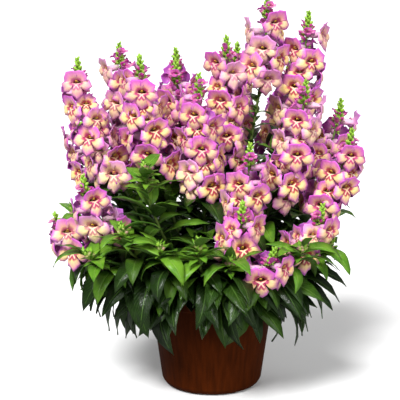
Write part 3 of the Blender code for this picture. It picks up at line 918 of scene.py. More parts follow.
class Look:
    """A material whose colour, gloss and relief are built from nodes."""

    def __init__(self, name):
        self.material = bpy.data.materials.new(name)
        self.material.use_nodes = True
        self.tree = self.material.node_tree
        self.shader = self.tree.nodes["Principled BSDF"]

    def node(self, kind, **settings):
        made = self.tree.nodes.new("ShaderNode" + kind)
        for key, value in settings.items():
            setattr(made, key, value)
        return made

    def feed(self, socket, value):
        if isinstance(value, bpy.types.NodeSocket):
            self.tree.links.new(value, socket)
        elif isinstance(value, tuple) and len(value) == 3 and socket.type == "RGBA":
            socket.default_value = (*value, 1)
        else:
            socket.default_value = value

    def attribute(self, name):
        return self.node("Attribute", attribute_name=name).outputs["Fac"]

    def math(self, operation, a, b=0.0):
        made = self.node("Math", operation=operation)
        self.feed(made.inputs[0], a)
        self.feed(made.inputs[1], b)
        return made.outputs[0]

    def step(self, value, low, high):
        """0 at low and 1 at high, smoothly between them; high may be below low."""
        made = self.node("MapRange", interpolation_type="SMOOTHSTEP")
        start, end, flip = (low, high, False) if low < high else (high, low, True)
        self.feed(made.inputs["Value"], value)
        self.feed(made.inputs["From Min"], start)
        self.feed(made.inputs["From Max"], end)
        self.feed(made.inputs["To Min"], 1.0 if flip else 0.0)
        self.feed(made.inputs["To Max"], 0.0 if flip else 1.0)
        return made.outputs["Result"]

    def mix(self, share, a, b):
        made = self.node("Mix", data_type="RGBA")
        self.feed(made.inputs[0], share)
        self.feed(made.inputs[6], a)
        self.feed(made.inputs[7], b)
        return made.outputs[2]

    def ramp(self, share, *stops):
        """A colour from stops of place and colour."""
        made = self.node("ValToRGB")
        self.feed(made.inputs[0], share)
        elements = made.color_ramp.elements
        while len(elements) < len(stops):
            elements.new(1.0)
        for element, (place, colour) in zip(elements, stops):
            element.position = place
            element.color = (*colour, 1)
        return made.outputs[0]

    def noise(self, scale, detail=3.0, stretch=(1, 1, 1)):
        """Mottling in the piece's own coordinates, finer along an axis with a larger stretch."""
        place = self.node("TexCoord").outputs["Object"]
        mapping = self.node("Mapping")
        self.feed(mapping.inputs["Vector"], place)
        self.feed(mapping.inputs["Scale"], stretch)
        made = self.node("TexNoise")
        self.feed(made.inputs["Vector"], mapping.outputs[0])
        self.feed(made.inputs["Scale"], scale)
        self.feed(made.inputs["Detail"], detail)
        return made.outputs["Fac"]

    def times(self, *values):
        product = values[0]
        for value in values[1:]:
            product = self.math("MULTIPLY", product, value)
        return product

    def bump(self, height, distance, strength=1.0):
        made = self.node("Bump")
        self.feed(made.inputs["Height"], height)
        self.feed(made.inputs["Distance"], distance)
        self.feed(made.inputs["Strength"], strength)
        self.feed(self.shader.inputs["Normal"], made.outputs[0])

    def set(self, **inputs):
        for name, value in inputs.items():
            self.feed(self.shader.inputs[name.replace("_", " ")], value)
        return self.material


def star(look, width, length):
    """1 along the arms of the star at a bloom's mouth, which fade at their sides and ends."""
    aside = look.math("ABSOLUTE", look.attribute("aside"))
    rise = look.math("ADD", look.attribute("rise"), STAR_FALL)
    arms = 0.0
    for degrees in STAR_ARMS:
        y, z = math.cos(math.radians(degrees)), math.sin(math.radians(degrees))
        run = look.math("ADD", look.times(aside, y), look.times(rise, z))
        gap = look.math("SUBTRACT", look.times(aside, z), look.times(rise, y))
        arm = look.step(look.math("ABSOLUTE", gap), *width)
        arm = look.times(arm, look.step(run, *length), look.step(run, *ARM_START))
        arms = look.math("MAXIMUM", arms, arm)
    return arms


def petal_look(settings):
    """Cream hearts, lilac edges, a cream star with crimson flanks at the mouth, violet backs, and
    painted shade deep in the throat.
    """
    look = Look("petal")
    along = look.attribute("along")
    upper = look.attribute("upper")
    back = look.attribute("back")
    tint = look.attribute("tint")
    young = look.attribute("young")
    patch = look.noise(90, 2.0)
    drift = look.times(look.math("SUBTRACT", patch, 0.5), 0.4)
    reach = look.math("ADD", along, drift)
    edge = tuple(settings.petal_edge)
    heart = tuple(settings.petal_heart)
    lower = look.ramp(
        reach,
        (0.06, tone("E07A55")),
        (0.18, heart),
        (0.5, tone("FCDC92")),
        (0.7, tone("FACAA4")),
        (0.84, tone("EE98B8")),
        (1.0, edge),
    )
    hood = look.ramp(
        reach,
        (0.03, tone("96264C")),
        (0.16, tone("C98A5C")),
        (0.36, tone("F2BC88")),
        (0.58, tone("EC9CAC")),
        (0.8, tone("DA74BC")),
        (1.0, edge),
    )
    front = look.mix(upper, lower, hood)
    stain = look.times(look.step(along, 0.34, 0.14), look.step(along, 0.0, 0.05))
    crimson = look.mix(look.times(stain, 0.85), front, tone("A01440"))
    ridge = star(look, RIDGE_WIDTH, RIDGE_LENGTH)
    flank = star(look, FLANK_WIDTH, FLANK_LENGTH)
    low = look.math("SUBTRACT", 1.0, upper)
    crimson = look.mix(look.times(flank, low, 0.95), crimson, tone("A01038"))
    front = look.mix(look.times(ridge, low, 0.95), crimson, tone("F4D6A8"))
    # Painted shade: the tube's inside is peach at the mouth and darkens to red-brown towards its
    # root, as shade in the throat.
    inside = look.ramp(
        look.math("ADD", along, 1.0),
        (0.0, tone("6A2A28")),
        (0.6, tone("A0503A")),
        (1.0, tone("DA8A5A")),
    )
    front = look.mix(look.step(along, 0.02, -0.08), front, inside)
    vein = look.math("SINE", look.math("MULTIPLY", look.attribute("across"), 26.0))
    vein = look.times(look.step(vein, 0.7, 1.0), look.step(along, 0.05, 0.3), 0.16)
    front = look.mix(vein, front, tone("A9407F"))
    rear = look.ramp(
        along, (0.0, tone("E4B4CC")), (0.35, tone("C272BC")), (0.85, tone("AA52B8"))
    )
    colour = look.mix(back, front, rear)
    fresh = look.math("MULTIPLY", young, 0.85)
    colour = look.mix(fresh, colour, tone("B42A9C"))
    pale = look.math("MULTIPLY", look.step(tint, 0.7, 1.0), 0.26)
    colour = look.mix(pale, colour, tone("F2DCCE"))
    look.bump(look.times(vein, 3.0), 0.3 * MM, 0.5)
    return look.set(
        Base_Color=colour,
        Roughness=0.55,
        Subsurface_Weight=0.12,
        Subsurface_Radius=(0.004, 0.002, 0.003),
        Subsurface_Scale=0.6,
        Sheen_Weight=0.15,
    )


def leaf_look(settings):
    """Dark green blades with pale midribs and side veins; young ones are bright and yellower."""
    look = Look("leaf")
    side = look.attribute("across")
    across = look.math("ABSOLUTE", side)
    along = look.attribute("along")
    tint = look.attribute("tint")
    young = look.attribute("young")
    back = look.attribute("back")
    grown = tuple(settings.leaf_colour)
    fresh = tuple(settings.young_colour)
    patch = look.noise(60, 4.0)
    deep = look.mix(look.step(patch, 0.3, 0.7), tone("0B1806"), grown)
    deep = look.mix(look.math("MULTIPLY", tint, 0.4), deep, tone("2C4A12"))
    light = look.mix(look.step(patch, 0.35, 0.65), tone("68AA28"), fresh)
    colour = look.mix(young, deep, light)
    rib = look.step(across, 0.1, 0.03)
    slant = look.math("SUBTRACT", look.times(along, 15.0), look.times(across, 3.4))
    veins = look.math("SINE", look.math("MULTIPLY", slant, 6.2832))
    veins = look.times(look.step(veins, 0.6, 1.0), look.step(across, 0.02, 0.2), 0.22)
    marks = look.math("MAXIMUM", look.times(rib, 0.7), veins)
    paler = look.mix(young, tone("4A6A2C"), tone("9CC452"))
    colour = look.mix(marks, colour, paler)
    colour = look.mix(look.times(back, 0.6), colour, tone("3E5A2A"))
    pucker = look.noise(170, 2.0)
    relief = look.math("ADD", look.times(patch, 0.5), look.times(pucker, 0.55))
    relief = look.math("SUBTRACT", relief, look.times(marks, 0.8))
    look.bump(relief, 1.5 * MM, 0.9)
    gloss = look.math("ADD", look.times(patch, 0.22), 0.2)
    return look.set(
        Base_Color=colour,
        Roughness=gloss,
        Specular_IOR_Level=0.24,
        Subsurface_Weight=0.05,
        Subsurface_Radius=(0.001, 0.002, 0.0005),
        Subsurface_Scale=0.5,
    )


def stalk_look():
    """Green stems, paler towards their tips, with fine ridges."""
    look = Look("stalk")
    tip = look.attribute("young")
    patch = look.noise(40, 3.0, (4, 4, 1))
    colour = look.mix(tip, tone("34501E"), tone("5C822A"))
    colour = look.mix(look.times(patch, 0.4), colour, tone("6E5A3A"))
    look.bump(look.noise(500, 2.0, (1, 1, 0.06)), 0.3 * MM, 0.5)
    return look.set(Base_Color=colour, Roughness=0.5)


def bud_look():
    """Green calyces and buds, whose tips turn magenta as they ripen."""
    look = Look("bud")
    along = look.attribute("along")
    young = look.attribute("young")
    patch = look.noise(300, 2.0)
    green = look.mix(patch, tone("5E8E22"), tone("A8D442"))
    ripe = look.times(look.step(along, 0.35, 0.75), look.math("SUBTRACT", 1.0, young))
    colour = look.mix(ripe, green, tone("A8207C"))
    look.bump(patch, 0.3 * MM, 0.5)
    return look.set(Base_Color=colour, Roughness=0.5, Subsurface_Weight=0.05)


def anther_look():
    """Yellow anthers on cream threads."""
    look = Look("anther")
    along = look.attribute("along")
    patch = look.noise(900, 2.0)
    colour = look.mix(look.step(along, 0.55, 0.7), tone("E8CFA0"), tone("E2B83A"))
    look.bump(patch, 0.2 * MM, 0.6)
    return look.set(Base_Color=colour, Roughness=0.6)


def pot_look(settings):
    """Reddish brown plastic with upright flow streaks, dusty patches and pale specks."""
    look = Look("pot plastic")
    streak = look.noise(60, 3.0, (3.0, 3.0, 0.05))
    dust = look.noise(14, 5.0)
    speck = look.noise(420, 2.0)
    colour = look.ramp(
        streak, (0.25, tone("331202")), (0.55, tuple(settings.plastic)), (0.85, tone("502006"))
    )
    colour = look.mix(look.times(look.step(dust, 0.5, 0.8), 0.2), colour, tone("4C2410"))
    colour = look.mix(look.times(look.step(speck, 0.66, 0.78), 0.2), colour, tone("5E3420"))
    look.bump(look.math("ADD", streak, look.times(speck, 0.25)), 0.25 * MM, 0.3)
    gloss = look.math("ADD", look.times(dust, 0.2), 0.5)
    return look.set(Base_Color=colour, Roughness=gloss, Specular_IOR_Level=0.03)


def soil_look(name, dark, light):
    """Damp peat, mottled."""
    look = Look(name)
    grain = look.noise(240, 6.0)
    colour = look.mix(look.step(grain, 0.3, 0.7), dark, light)
    look.bump(grain, 2 * MM, 0.8)
    return look.set(Base_Color=colour, Roughness=0.95)


# Shapes that are repeated


def thickened(surface, thickness):
    """Gives a sheet its other side, marked in the back layer, and closes its edges."""
    back = surface.verts.layers.float["back"]
    bmesh.ops.remove_doubles(surface, verts=surface.verts, dist=0.02 * MM)
    surface.normal_update()
    loops = [next(iter(e.link_loops)) for e in surface.edges if e.is_boundary]
    rims = [(loop.vert, loop.link_loop_next.vert) for loop in loops]
    moves = {v: v.normal * -thickness for v in surface.verts}
    made = bmesh.ops.duplicate(surface, geom=[*surface.verts, *surface.edges, *surface.faces])
    twins = made["vert_map"]
    copies = [f for f in made["geom"] if isinstance(f, bmesh.types.BMFace)]
    bmesh.ops.reverse_faces(surface, faces=copies)
    for vert, move in moves.items():
        twins[vert].co += move
        twins[vert][back] = 1.0
    for a, b in rims:
        surface.faces.new((b, a, twins[a], twins[b]))
    return surface


def made_object(name, surface, collection):
    """Turns a shape into a smooth object of the collection."""
    for face in surface.faces:
        face.smooth = True
    mesh = bpy.data.meshes.new(name)
    surface.to_mesh(mesh)
    surface.free()
    made = bpy.data.objects.new(name, mesh)
    collection.objects.link(made)
    return made


def dropped(collection):
    """Deletes a collection with its objects."""
    for shape in list(collection.objects):
        bpy.data.objects.remove(shape)
    bpy.data.collections.remove(collection)


def new_sheet():
    surface = bmesh.new()
    for layer in ("across", "along", "upper", "back", "aside", "rise"):
        surface.verts.layers.float.new(layer)
    return surface


def sheet_vert(surface, place, **marks):
    vert = surface.verts.new(place)
    for layer, value in marks.items():
        vert[surface.verts.layers.float[layer]] = value
    return vert


def quads(surface, grid, closed=False):
    """Faces between neighbouring rows of vertices."""
    for row, after in zip(grid, grid[1:]):
        n = len(row)
        for i in range(n if closed else n - 1):
            j = (i + 1) % n
            surface.faces.new((row[i], row[j], after[j], after[i]))


def leaf_outline(t):
    """Half width of a lance-shaped blade of unit width."""
    full = math.sin(math.pi * min(t, 1.0) ** 0.78)
    return 0.5 * max(full, 0.0) ** (1.25 if t < LEAF_WIDEST else 0.92) + 0.035 * (1 - t)


def leaf_variant(name, droop, draw, fold, collection):
    """A blade of unit length and width, folded along its midrib, with a waved edge."""
    surface = new_sheet()
    phase = draw.uniform(0, WHOLE_TURN)
    twist = draw.uniform(-LEAF_TWIST, LEAF_TWIST)
    lean = draw.uniform(-LEAF_LEAN, LEAF_LEAN)
    grid = []
    for i in range(LEAF_ROWS + 1):
        t = i / LEAF_ROWS
        point, normal = midrib(droop, t)
        half = leaf_outline(t)
        row = []
        for j in range(LEAF_COLUMNS + 1):
            v = 2 * j / LEAF_COLUMNS - 1
            wave = LEAF_EDGE_WAVE * math.sin(WHOLE_TURN * (2.6 * t + 0.2 * v) + phase) * abs(v)
            rise = LEAF_CUP * half * abs(v) ** 1.15 * math.tan(fold) * (1 - 0.5 * t)
            rise += wave + LEAF_CUP * half * v * twist * t
            side = v * half + lean * math.sin(math.pi * t)
            place = point + normal * rise + Vector((0, side, 0))
            row.append(sheet_vert(surface, place, across=v, along=t))
        grid.append(row)
    quads(surface, grid)
    surface.normal_update()
    if sum(f.normal.z for f in surface.faces) < 0:
        bmesh.ops.reverse_faces(surface, faces=surface.faces[:])
    return made_object(name, thickened(surface, LEAF_BLADE), collection)


def mouth_point(angle, radius, share):
    """A point of the tube's ring: towards the mouth its lower half rises into a palate."""
    y, z = math.cos(angle), math.sin(angle)
    forward = 0.0
    if z < 0:
        forward = PALATE_FORWARD * -z * share
        z *= 1 - PALATE_RISE * share
    else:
        z *= 1 - HOOD_FALL * share
    return Vector((forward, y * radius, z * radius))


def lobe_point(lobe, share, s, shut, waves, size):
    """A point of a lobe, from the mouth (share 0) to its edge (share 1)."""
    _, middle, _, reach, _ = LOBES[lobe]
    fine = FINE_LOBES[lobe]
    phase, second, height = waves
    flat = 1 - shut
    start, end = NOTCH_ANGLES[lobe], NOTCH_ANGLES[lobe + 1]
    base = mouth_point(math.radians((start + end + (end - start) * s) / 2), THROAT_RADIUS, 1)
    out = Vector((0, math.cos(math.radians(middle)), math.sin(math.radians(middle))))
    side = Vector((0, -out.z, out.y))
    wrap = math.radians(LOBE_WRAP * s)
    rippled = 1 + EDGE_WAVE * math.sin(9.1 * s + second) + EDGE_RIPPLE * math.sin(19 * s)
    reach = reach * fine.growth * size * rippled
    centre = THROAT_RADIUS + fine.centre * (reach - THROAT_RADIUS)
    width = fine.half_width * size * (1 + 0.12 * shut)
    edge = out * (centre + (reach - centre) * math.cos(wrap)) + side * width * math.sin(wrap)
    run = edge - Vector((0, base.y, base.z))
    angle = math.radians(fine.opening * flat - SHUT_LEAN * shut)
    dome = math.sin(math.pi * min(share / 0.9, 1.0)) * (1 - 0.45 * s * s) * flat
    ruffle = math.sin(8.3 * s + phase) + 0.6 * math.sin(15.7 * s + second)
    forward = run.length * share * math.cos(angle) * (1 - 0.5 * shut)
    forward += height * (1 - 0.7 * shut) * share**2.2 * ruffle
    forward += fine.bulge * dome
    forward -= EDGE_FALL * max(share - EDGE_FALL_FROM, 0.0) * 2.5 * flat * fine.edge_fall
    forward += SIDE_CURL * share * s * s * fine.curl
    place = base + run * share * math.sin(angle)
    return place + Vector((BLOOM_THROAT + forward, 0, 0))


def petal_row(surface, places, along, upper):
    """Vertices across a lobe, marked with where they lie on it and as seen from the front."""
    row = []
    for i, place in enumerate(places):
        marks = {"across": 2 * i / (len(places) - 1) - 1, "along": along, "upper": upper}
        marks.update(aside=place.y / THROAT_RADIUS, rise=place.z / THROAT_RADIUS)
        row.append(sheet_vert(surface, place, **marks))
    return row


def bloom_variant(name, shut, draw, wave, collection):
    """A corolla: a pouched tube that opens into two upper and three lower lobes."""
    surface = new_sheet()
    root = sheet_vert(surface, (TUBE_ROWS[0][0] * MM, 0, 0), along=-1.0)
    shares = [i / BLOOM_COLUMNS for i in range(BLOOM_COLUMNS + 1)]
    for lobe, fine in enumerate(FINE_LOBES):
        size = draw.uniform(0.97, 1.06)
        phases = draw.uniform(0, WHOLE_TURN), draw.uniform(0, WHOLE_TURN)
        waves = (*phases, wave * draw.uniform(0.7, 1.4))
        upper = 1.0 if fine is UPPER_LOBE else 0.0
        start, end = NOTCH_ANGLES[lobe], NOTCH_ANGLES[lobe + 1]
        angles = [math.radians(start + (end - start) * share) for share in shares]
        grid = []
        for row, (x, radius) in enumerate(TUBE_ROWS):
            part = row / (len(TUBE_ROWS) - 1)
            at = Vector((x * MM, 0, 0))
            places = [mouth_point(angle, radius * MM, part**3) + at for angle in angles]
            grid.append(petal_row(surface, places, part - 1, upper))
        for along in LOBE_ROWS:
            places = [lobe_point(lobe, along, 2 * s - 1, shut, waves, size) for s in shares]
            grid.append(petal_row(surface, places, along, upper))
        quads(surface, grid)
        for a, b in zip(grid[0], grid[0][1:]):
            surface.faces.new((b, a, root))
    surface.normal_update()
    facing = sum(f.normal.x for f in surface.faces if f.calc_center_median().x > BLOOM_THROAT)
    if facing < 0:
        bmesh.ops.reverse_faces(surface, faces=surface.faces[:])
    return made_object(name, thickened(surface, PETAL_BLADE), collection)


def pod(surface, start, end, radius, rows=4, sides=6, low=0.0, high=1.0):
    """A closed spindle between two points, with its place along itself marked."""
    run = end - start
    side = run.orthogonal().normalized()
    front = run.normalized().cross(side)
    grid = []
    for i in range(1, rows):
        t = i / rows
        girth = radius * math.sin(math.pi * t**0.8) ** 0.7
        verts = []
        for j in range(sides):
            a = 2 * math.pi * j / sides
            place = start + run * t + girth * (math.cos(a) * side + math.sin(a) * front)
            verts.append(sheet_vert(surface, place, along=low + (high - low) * t))
        grid.append(verts)
    quads(surface, grid, closed=True)
    for pole, ring_verts, mark in ((start, grid[0], low), (end, grid[-1], high)):
        centre = sheet_vert(surface, pole, along=mark)
        for a, b in zip(ring_verts, ring_verts[1:] + ring_verts[:1]):
            face = (b, a, centre) if pole is start else (a, b, centre)
            surface.faces.new(face)


def calyx_variant(name, collection):
    """A short stalk and five pointed sepals that hold the tube's root."""
    surface = new_sheet()
    pod(surface, Vector((0.5, 0, 0)) * MM, Vector((6.5, 0, 0)) * MM, 1.1 * MM)
    for k in range(5):
        a = math.radians(72 * k + 18)
        out = Vector((0, math.cos(a), math.sin(a)))
        start = (Vector((3.6, 0, 0)) + out * 0.6) * MM
        end = (Vector((10.5, 0, 0)) + out * 5.4) * MM
        pod(surface, start, end, 1.5 * MM, rows=3, sides=4, high=0.3)
    bmesh.ops.recalc_face_normals(surface, faces=surface.faces[:])
    return made_object(name, surface, collection)


def bud_variant(name, long, collection):
    """A bud of unit length: a spindle with three small sepals at its foot."""
    surface = new_sheet()
    pod(surface, Vector(), Vector((1, 0, 0)), 0.2 if long else 0.3, rows=5, sides=6)
    for k in range(3):
        a = math.radians(120 * k)
        out = Vector((0, math.cos(a), math.sin(a)))
        end = Vector((0.55, 0, 0)) + out * 0.3
        pod(surface, out * 0.05, end, 0.12, rows=3, sides=4, high=0.3)
    bmesh.ops.recalc_face_normals(surface, faces=surface.faces[:])
    return made_object(name, surface, collection)


def anthers_variant(name, collection):
    """Four threads from the throat, each ending in an anther, under the upper lobes."""
    surface = new_sheet()
    for y, z, x in ANTHER_HEADS:
        root = Vector((11, y * 1.6, 0.5)) * MM
        head = Vector((x, y, z)) * MM
        back = head - Vector((0.6, y / 2, 0)) * MM
        front = head + Vector((1.6, -y / 3, 0.4)) * MM
        pod(surface, root, head, 0.35 * MM, rows=3, sides=3, high=0.5)
        pod(surface, back, front, 0.75 * MM, rows=3, sides=4, low=0.8)
    bmesh.ops.recalc_face_normals(surface, faces=surface.faces[:])
    return made_object(name, surface, collection)


# Geometry Nodes


class Tree:
    """A Geometry Nodes tree with named inputs."""

    def __init__(self, name, **inputs):
        self.tree = bpy.data.node_groups.new(name, "GeometryNodeTree")
        self.keys = {}
        for label, kind in {"Geometry": "Geometry", **inputs}.items():
            socket = self.tree.interface.new_socket(
                label.replace("_", " "), in_out="INPUT", socket_type="NodeSocket" + kind
            )
            self.keys[label] = socket.identifier
        self.tree.interface.new_socket(
            "Geometry", in_out="OUTPUT", socket_type="NodeSocketGeometry"
        )
        self.source = self.tree.nodes.new("NodeGroupInput")
        self.result = self.tree.nodes.new("NodeGroupOutput")

    def input(self, label):
        """The output of the group's input node with a label."""
        return self.source.outputs[label.replace("_", " ")]

    def node(self, kind, settings=(), **inputs):
        made = self.tree.nodes.new(kind)
        for key, value in dict(settings).items():
            setattr(made, key, value)
        for label, value in inputs.items():
            name = label.replace("_", " ")
            socket = next(s for s in made.inputs if s.name == name and s.enabled)
            if isinstance(value, bpy.types.NodeSocket):
                self.tree.links.new(value, socket)
            else:
                socket.default_value = value
        return made

    def attribute(self, name, kind):
        made = self.node("GeometryNodeInputNamedAttribute", {"data_type": kind})
        made.inputs["Name"].default_value = name
        return next(s for s in made.outputs if s.enabled and s.name == "Attribute")

    def only(self, geometry, sort):
        """The points whose sort is the given one."""
        same = self.node(
            "FunctionNodeCompare",
            {"data_type": "INT", "operation": "EQUAL"},
            A=self.attribute("sort", "INT"),
            B=sort,
        )
        parted = self.node(
            "GeometryNodeSeparateGeometry", Geometry=geometry, Selection=same.outputs[0]
        )
        return parted.outputs[0]

    def placed(self, points, variants, material, kind, turn, size):
        """A variant on each point, made real and given its material."""
        info = self.node(
            "GeometryNodeCollectionInfo",
            Collection=variants,
            Separate_Children=True,
            Reset_Children=True,
        )
        placed = self.node(
            "GeometryNodeInstanceOnPoints",
            Points=points,
            Instance=info.outputs[0],
            Pick_Instance=True,
            Instance_Index=kind,
            Rotation=turn,
            Scale=size,
        )
        real = self.node("GeometryNodeRealizeInstances", Geometry=placed.outputs[0])
        return self.finish(real.outputs[0], material)

    def repeats(self, points, variants, material):
        """A variant on each point, turned and scaled by the point's own attributes."""
        turn = self.node(
            "FunctionNodeEulerToRotation", Euler=self.attribute("turn", "FLOAT_VECTOR")
        )
        kind = self.attribute("kind", "INT")
        size = self.attribute("size", "FLOAT_VECTOR")
        return self.placed(points, variants, material, kind, turn.outputs[0], size)

    def chance(self, kind, seed, **limits):
        """A value drawn for each point."""
        made = self.node("FunctionNodeRandomValue", {"data_type": kind}, Seed=seed, **limits)
        return next(s for s in made.outputs if s.enabled)

    def finish(self, geometry, material):
        made = self.node("GeometryNodeSetMaterial", Geometry=geometry, Material=material)
        return made.outputs[0]

    def tube(self, path, material):
        """A round tube along the path, as thick as its points say."""
        curve = self.node("GeometryNodeMeshToCurve", Mesh=path)
        circle = self.node("GeometryNodeCurvePrimitiveCircle", Resolution=9, Radius=1.0)
        body = self.node(
            "GeometryNodeCurveToMesh",
            Curve=curve.outputs[0],
            Profile_Curve=circle.outputs[0],
            Scale=self.attribute("thick", "FLOAT"),
            Fill_Caps=True,
        )
        return self.finish(body.outputs[0], material)

    def join(self, *parts):
        made = self.node("GeometryNodeJoinGeometry")
        for part in reversed(parts):
            self.tree.links.new(part, made.inputs[0])
        return made.outputs[0]

    def close(self, geometry):
        self.tree.links.new(geometry, self.result.inputs[0])
        return self


def stem_tree():
    """A stem along its path, with its leaves and buds."""
    tree = Tree(
        "Leafy stem",
        Leaves="Collection",
        Buds="Collection",
        Stalk_look="Material",
        Leaf_look="Material",
        Bud_look="Material",
    )
    start = tree.input("Geometry")
    stalk = tree.tube(tree.only(start, STALK), tree.input("Stalk look"))
    leaves = tree.repeats(tree.only(start, LEAF), tree.input("Leaves"), tree.input("Leaf look"))
    buds = tree.repeats(tree.only(start, BUD), tree.input("Buds"), tree.input("Bud look"))
    return tree.close(tree.join(stalk, leaves, buds))


def bloom_tree():
    """The corollas of a head with their anthers."""
    tree = Tree(
        "Head of blooms",
        Corollas="Collection",
        Anthers="Collection",
        Petal_look="Material",
        Anther_look="Material",
    )
    start = tree.input("Geometry")
    petals = tree.repeats(
        tree.only(start, LEAF), tree.input("Corollas"), tree.input("Petal look")
    )
    anthers = tree.repeats(
        tree.only(start, BUD), tree.input("Anthers"), tree.input("Anther look")
    )
    return tree.close(tree.join(petals, anthers))


class Points:
    """Points with the attributes that the trees read."""

    def __init__(self):
        self.places = []
        self.edges = []
        self.rows = []

    def add(
        self, place, sort, kind=0, turned=None, size=(1, 1, 1), tint=0.0, young=0.0, thick=0.0
    ):
        turn = tuple(turned.to_euler()) if turned else (0, 0, 0)
        self.places.append(tuple(place))
        self.rows.append((sort, kind, turn, tuple(size), tint, young, thick))

    def mesh(self, name):
        mesh = bpy.data.meshes.new(name)
        mesh.from_pydata(self.places, self.edges, [])
        columns = list(zip(*self.rows))
        for label, kind, column in zip(
            ("sort", "kind", "turn", "size", "tint", "young", "thick"),
            ("INT", "INT", "FLOAT_VECTOR", "FLOAT_VECTOR", "FLOAT", "FLOAT", "FLOAT"),
            columns,
        ):
            attribute = mesh.attributes.new(label, kind, "POINT")
            if kind == "FLOAT_VECTOR":
                attribute.data.foreach_set("vector", [c for v in column for c in v])
            else:
                attribute.data.foreach_set("value", column)
        return mesh


def applied(made):
    """Keeps what an object's modifier makes of it as its own plain mesh."""
    bpy.context.view_layer.update()
    graph = bpy.context.evaluated_depsgraph_get()
    result = bpy.data.meshes.new_from_object(made.evaluated_get(graph))
    made.modifiers.clear()
    made.data = result
    result.name = made.name
    return made


def plain_result(name, mesh, tree, **inputs):
    """Evaluates a tree on a mesh and keeps the result as a plain mesh object."""
    made = bpy.data.objects.new(name, mesh)
    bpy.context.scene.collection.objects.link(made)
    modifier = made.modifiers.new("grow", "NODES")
    modifier.node_group = tree.tree
    for label, value in inputs.items():
        modifier[tree.keys[label]] = value
    return applied(made)


def dressed(piece, slot, *nodes):
    """Rides on the part's one body and stands for its nodes."""
    if not piece.data.polygons:
        raise RuntimeError(f"{piece.name} has no faces")
    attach(piece, "root")
    if nodes:
        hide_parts(*nodes)


class Plan:
    """The plant as placed by its rule, and the shapes that repeat on it."""

    stems = None
    shapes = None

    @classmethod
    def make(cls, settings):
        """Places the stems and makes the shapes, unless they are there."""
        if cls.stems is None:
            cls.place_stems()
        if cls.shapes is None:
            cls.make_shapes(settings)

    @classmethod
    def place_stems(cls):
        pot = turned_solid(pot_profile(), POT_SIDES)
        soil = turned_solid(soil_profile(), SOIL_SIDES)
        cls.flowering, cls.shoots, garden = grow_plant(pot, soil)
        cls.stems = cls.flowering + cls.shoots
        draw = random.Random(SEED + 1)
        for stem in cls.flowering:
            stem.more_blooms = fill_blooms(stem, garden, draw)
        for stem in cls.stems:
            reach = math.hypot(stem.tip.x, stem.tip.y)
            stem.more_leaves = []
            if stem.head and reach > FAR_OUT and stem.tip.z < LOW_HEAD:
                stem.more_leaves += low_leaves(stem, garden, draw)
            if reach > INNER_CLUMP:
                stem.more_leaves += skirt_leaves(stem, garden, draw)
        for stem in cls.shoots + cls.flowering[::-1]:
            stem.more_leaves += fill_leaves(stem, garden, draw)

    @classmethod
    def make_shapes(cls, settings):
        labels = ("leaves", "buds", "corollas", "anthers")
        cls.shapes = {label: bpy.data.collections.new(label + " shapes") for label in labels}
        leaves, buds, corollas, anthers = cls.shapes.values()
        draw = random.Random(settings.seed)
        for k in range(len(DROOPS) * LEAF_WAVES):
            droop = DROOPS[k // LEAF_WAVES]
            leaf_variant(f"leaf_{k:02d}", droop, draw, settings.leaf_fold, leaves)
        calyx_variant("bud_0", buds)
        bud_variant("bud_1", False, buds)
        bud_variant("bud_2", True, buds)
        for k in range(OPEN_VARIANTS + HALF_OPEN_VARIANTS):
            late = k - OPEN_VARIANTS
            shut = draw.uniform(-0.05, 0.14) if late < 0 else 0.62 + 0.3 * late
            bloom_variant(f"corolla_{k}", shut, draw, settings.petal_wave, corollas)
        anthers_variant("anthers_0", anthers)

    @classmethod
    def drop_shapes(cls):
        for collection in cls.shapes.values():
            dropped(collection)
        cls.shapes = None


def add_leaf(points, draw, place, turned, long, wide, droop, young):
    kind = DROOPS.index(droop) * LEAF_WAVES + draw.randrange(LEAF_WAVES)
    size = (long, wide * FINE_WIDTH, long)
    points.add(place, LEAF, kind, turned, size, draw.random(), young)


def add_path(points, stem):
    """The stem's run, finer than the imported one."""
    for k in range(PATH_STEPS + 1):
        last = k == PATH_STEPS
        share = k / PATH_STEPS
        distance = stem.length * k / PATH_STEPS - (1 * MM if last else 0)
        thick = STALK_SHARE * stem.radius(distance) * (0.5 if last else 1)
        points.add(stem.along(distance), STALK, young=share**2, thick=thick)
        if k:
            points.edges.append((k - 1, k))


def add_spire(points, stem, draw):
    """Ripe magenta buds below a short cone of green ones."""
    base = stem.head[1] - SPIRE_SINK
    turn = draw.uniform(0, 360)
    for k in range(SPIRE_BUDS):
        share = k / (SPIRE_BUDS - 1)
        distance = base + (stem.length - base) * share - 1.5 * MM * share
        place = stem.along(distance)
        ripe = share < SPIRE_RIPE
        long = (14 - 8 * share if ripe else 10.5 - 5 * share) * MM
        turned = rotation(turn, 24 + 34 * share**2 + draw.uniform(-6, 6))
        kind, green = (LONG_BUD, 0.0) if ripe else (ROUND_BUD, 1.0)
        points.add(place, BUD, kind, turned, (long,) * 3, 0, green)
        if k % 2 == 0:
            small = rotation(turn + 50, 30 + 40 * share)
            length = (9 - 4 * share) * MM
            add_leaf(points, draw, place, small, length, 0.42 * length, DROOPS[0], 0.7)
        turn += GOLDEN_TURN


def add_bracts(points, stem, draw):
    """Short leaves close along the stem below its head."""
    turn = draw.uniform(0, 360)
    distance = stem.head[0] - BRACT_RUN
    while distance < stem.head[0] + 4 * MM:
        place = stem.along(distance)
        length = draw.uniform(13, 20) * MM
        turned = rotation(turn, draw.uniform(50, 74), draw.uniform(-25, 25))
        young = draw.uniform(0.1, 0.45)
        add_leaf(points, draw, place, turned, length, 0.5 * length, DROOPS[1], young)
        turn += GOLDEN_TURN
        distance += BRACT_SPACING


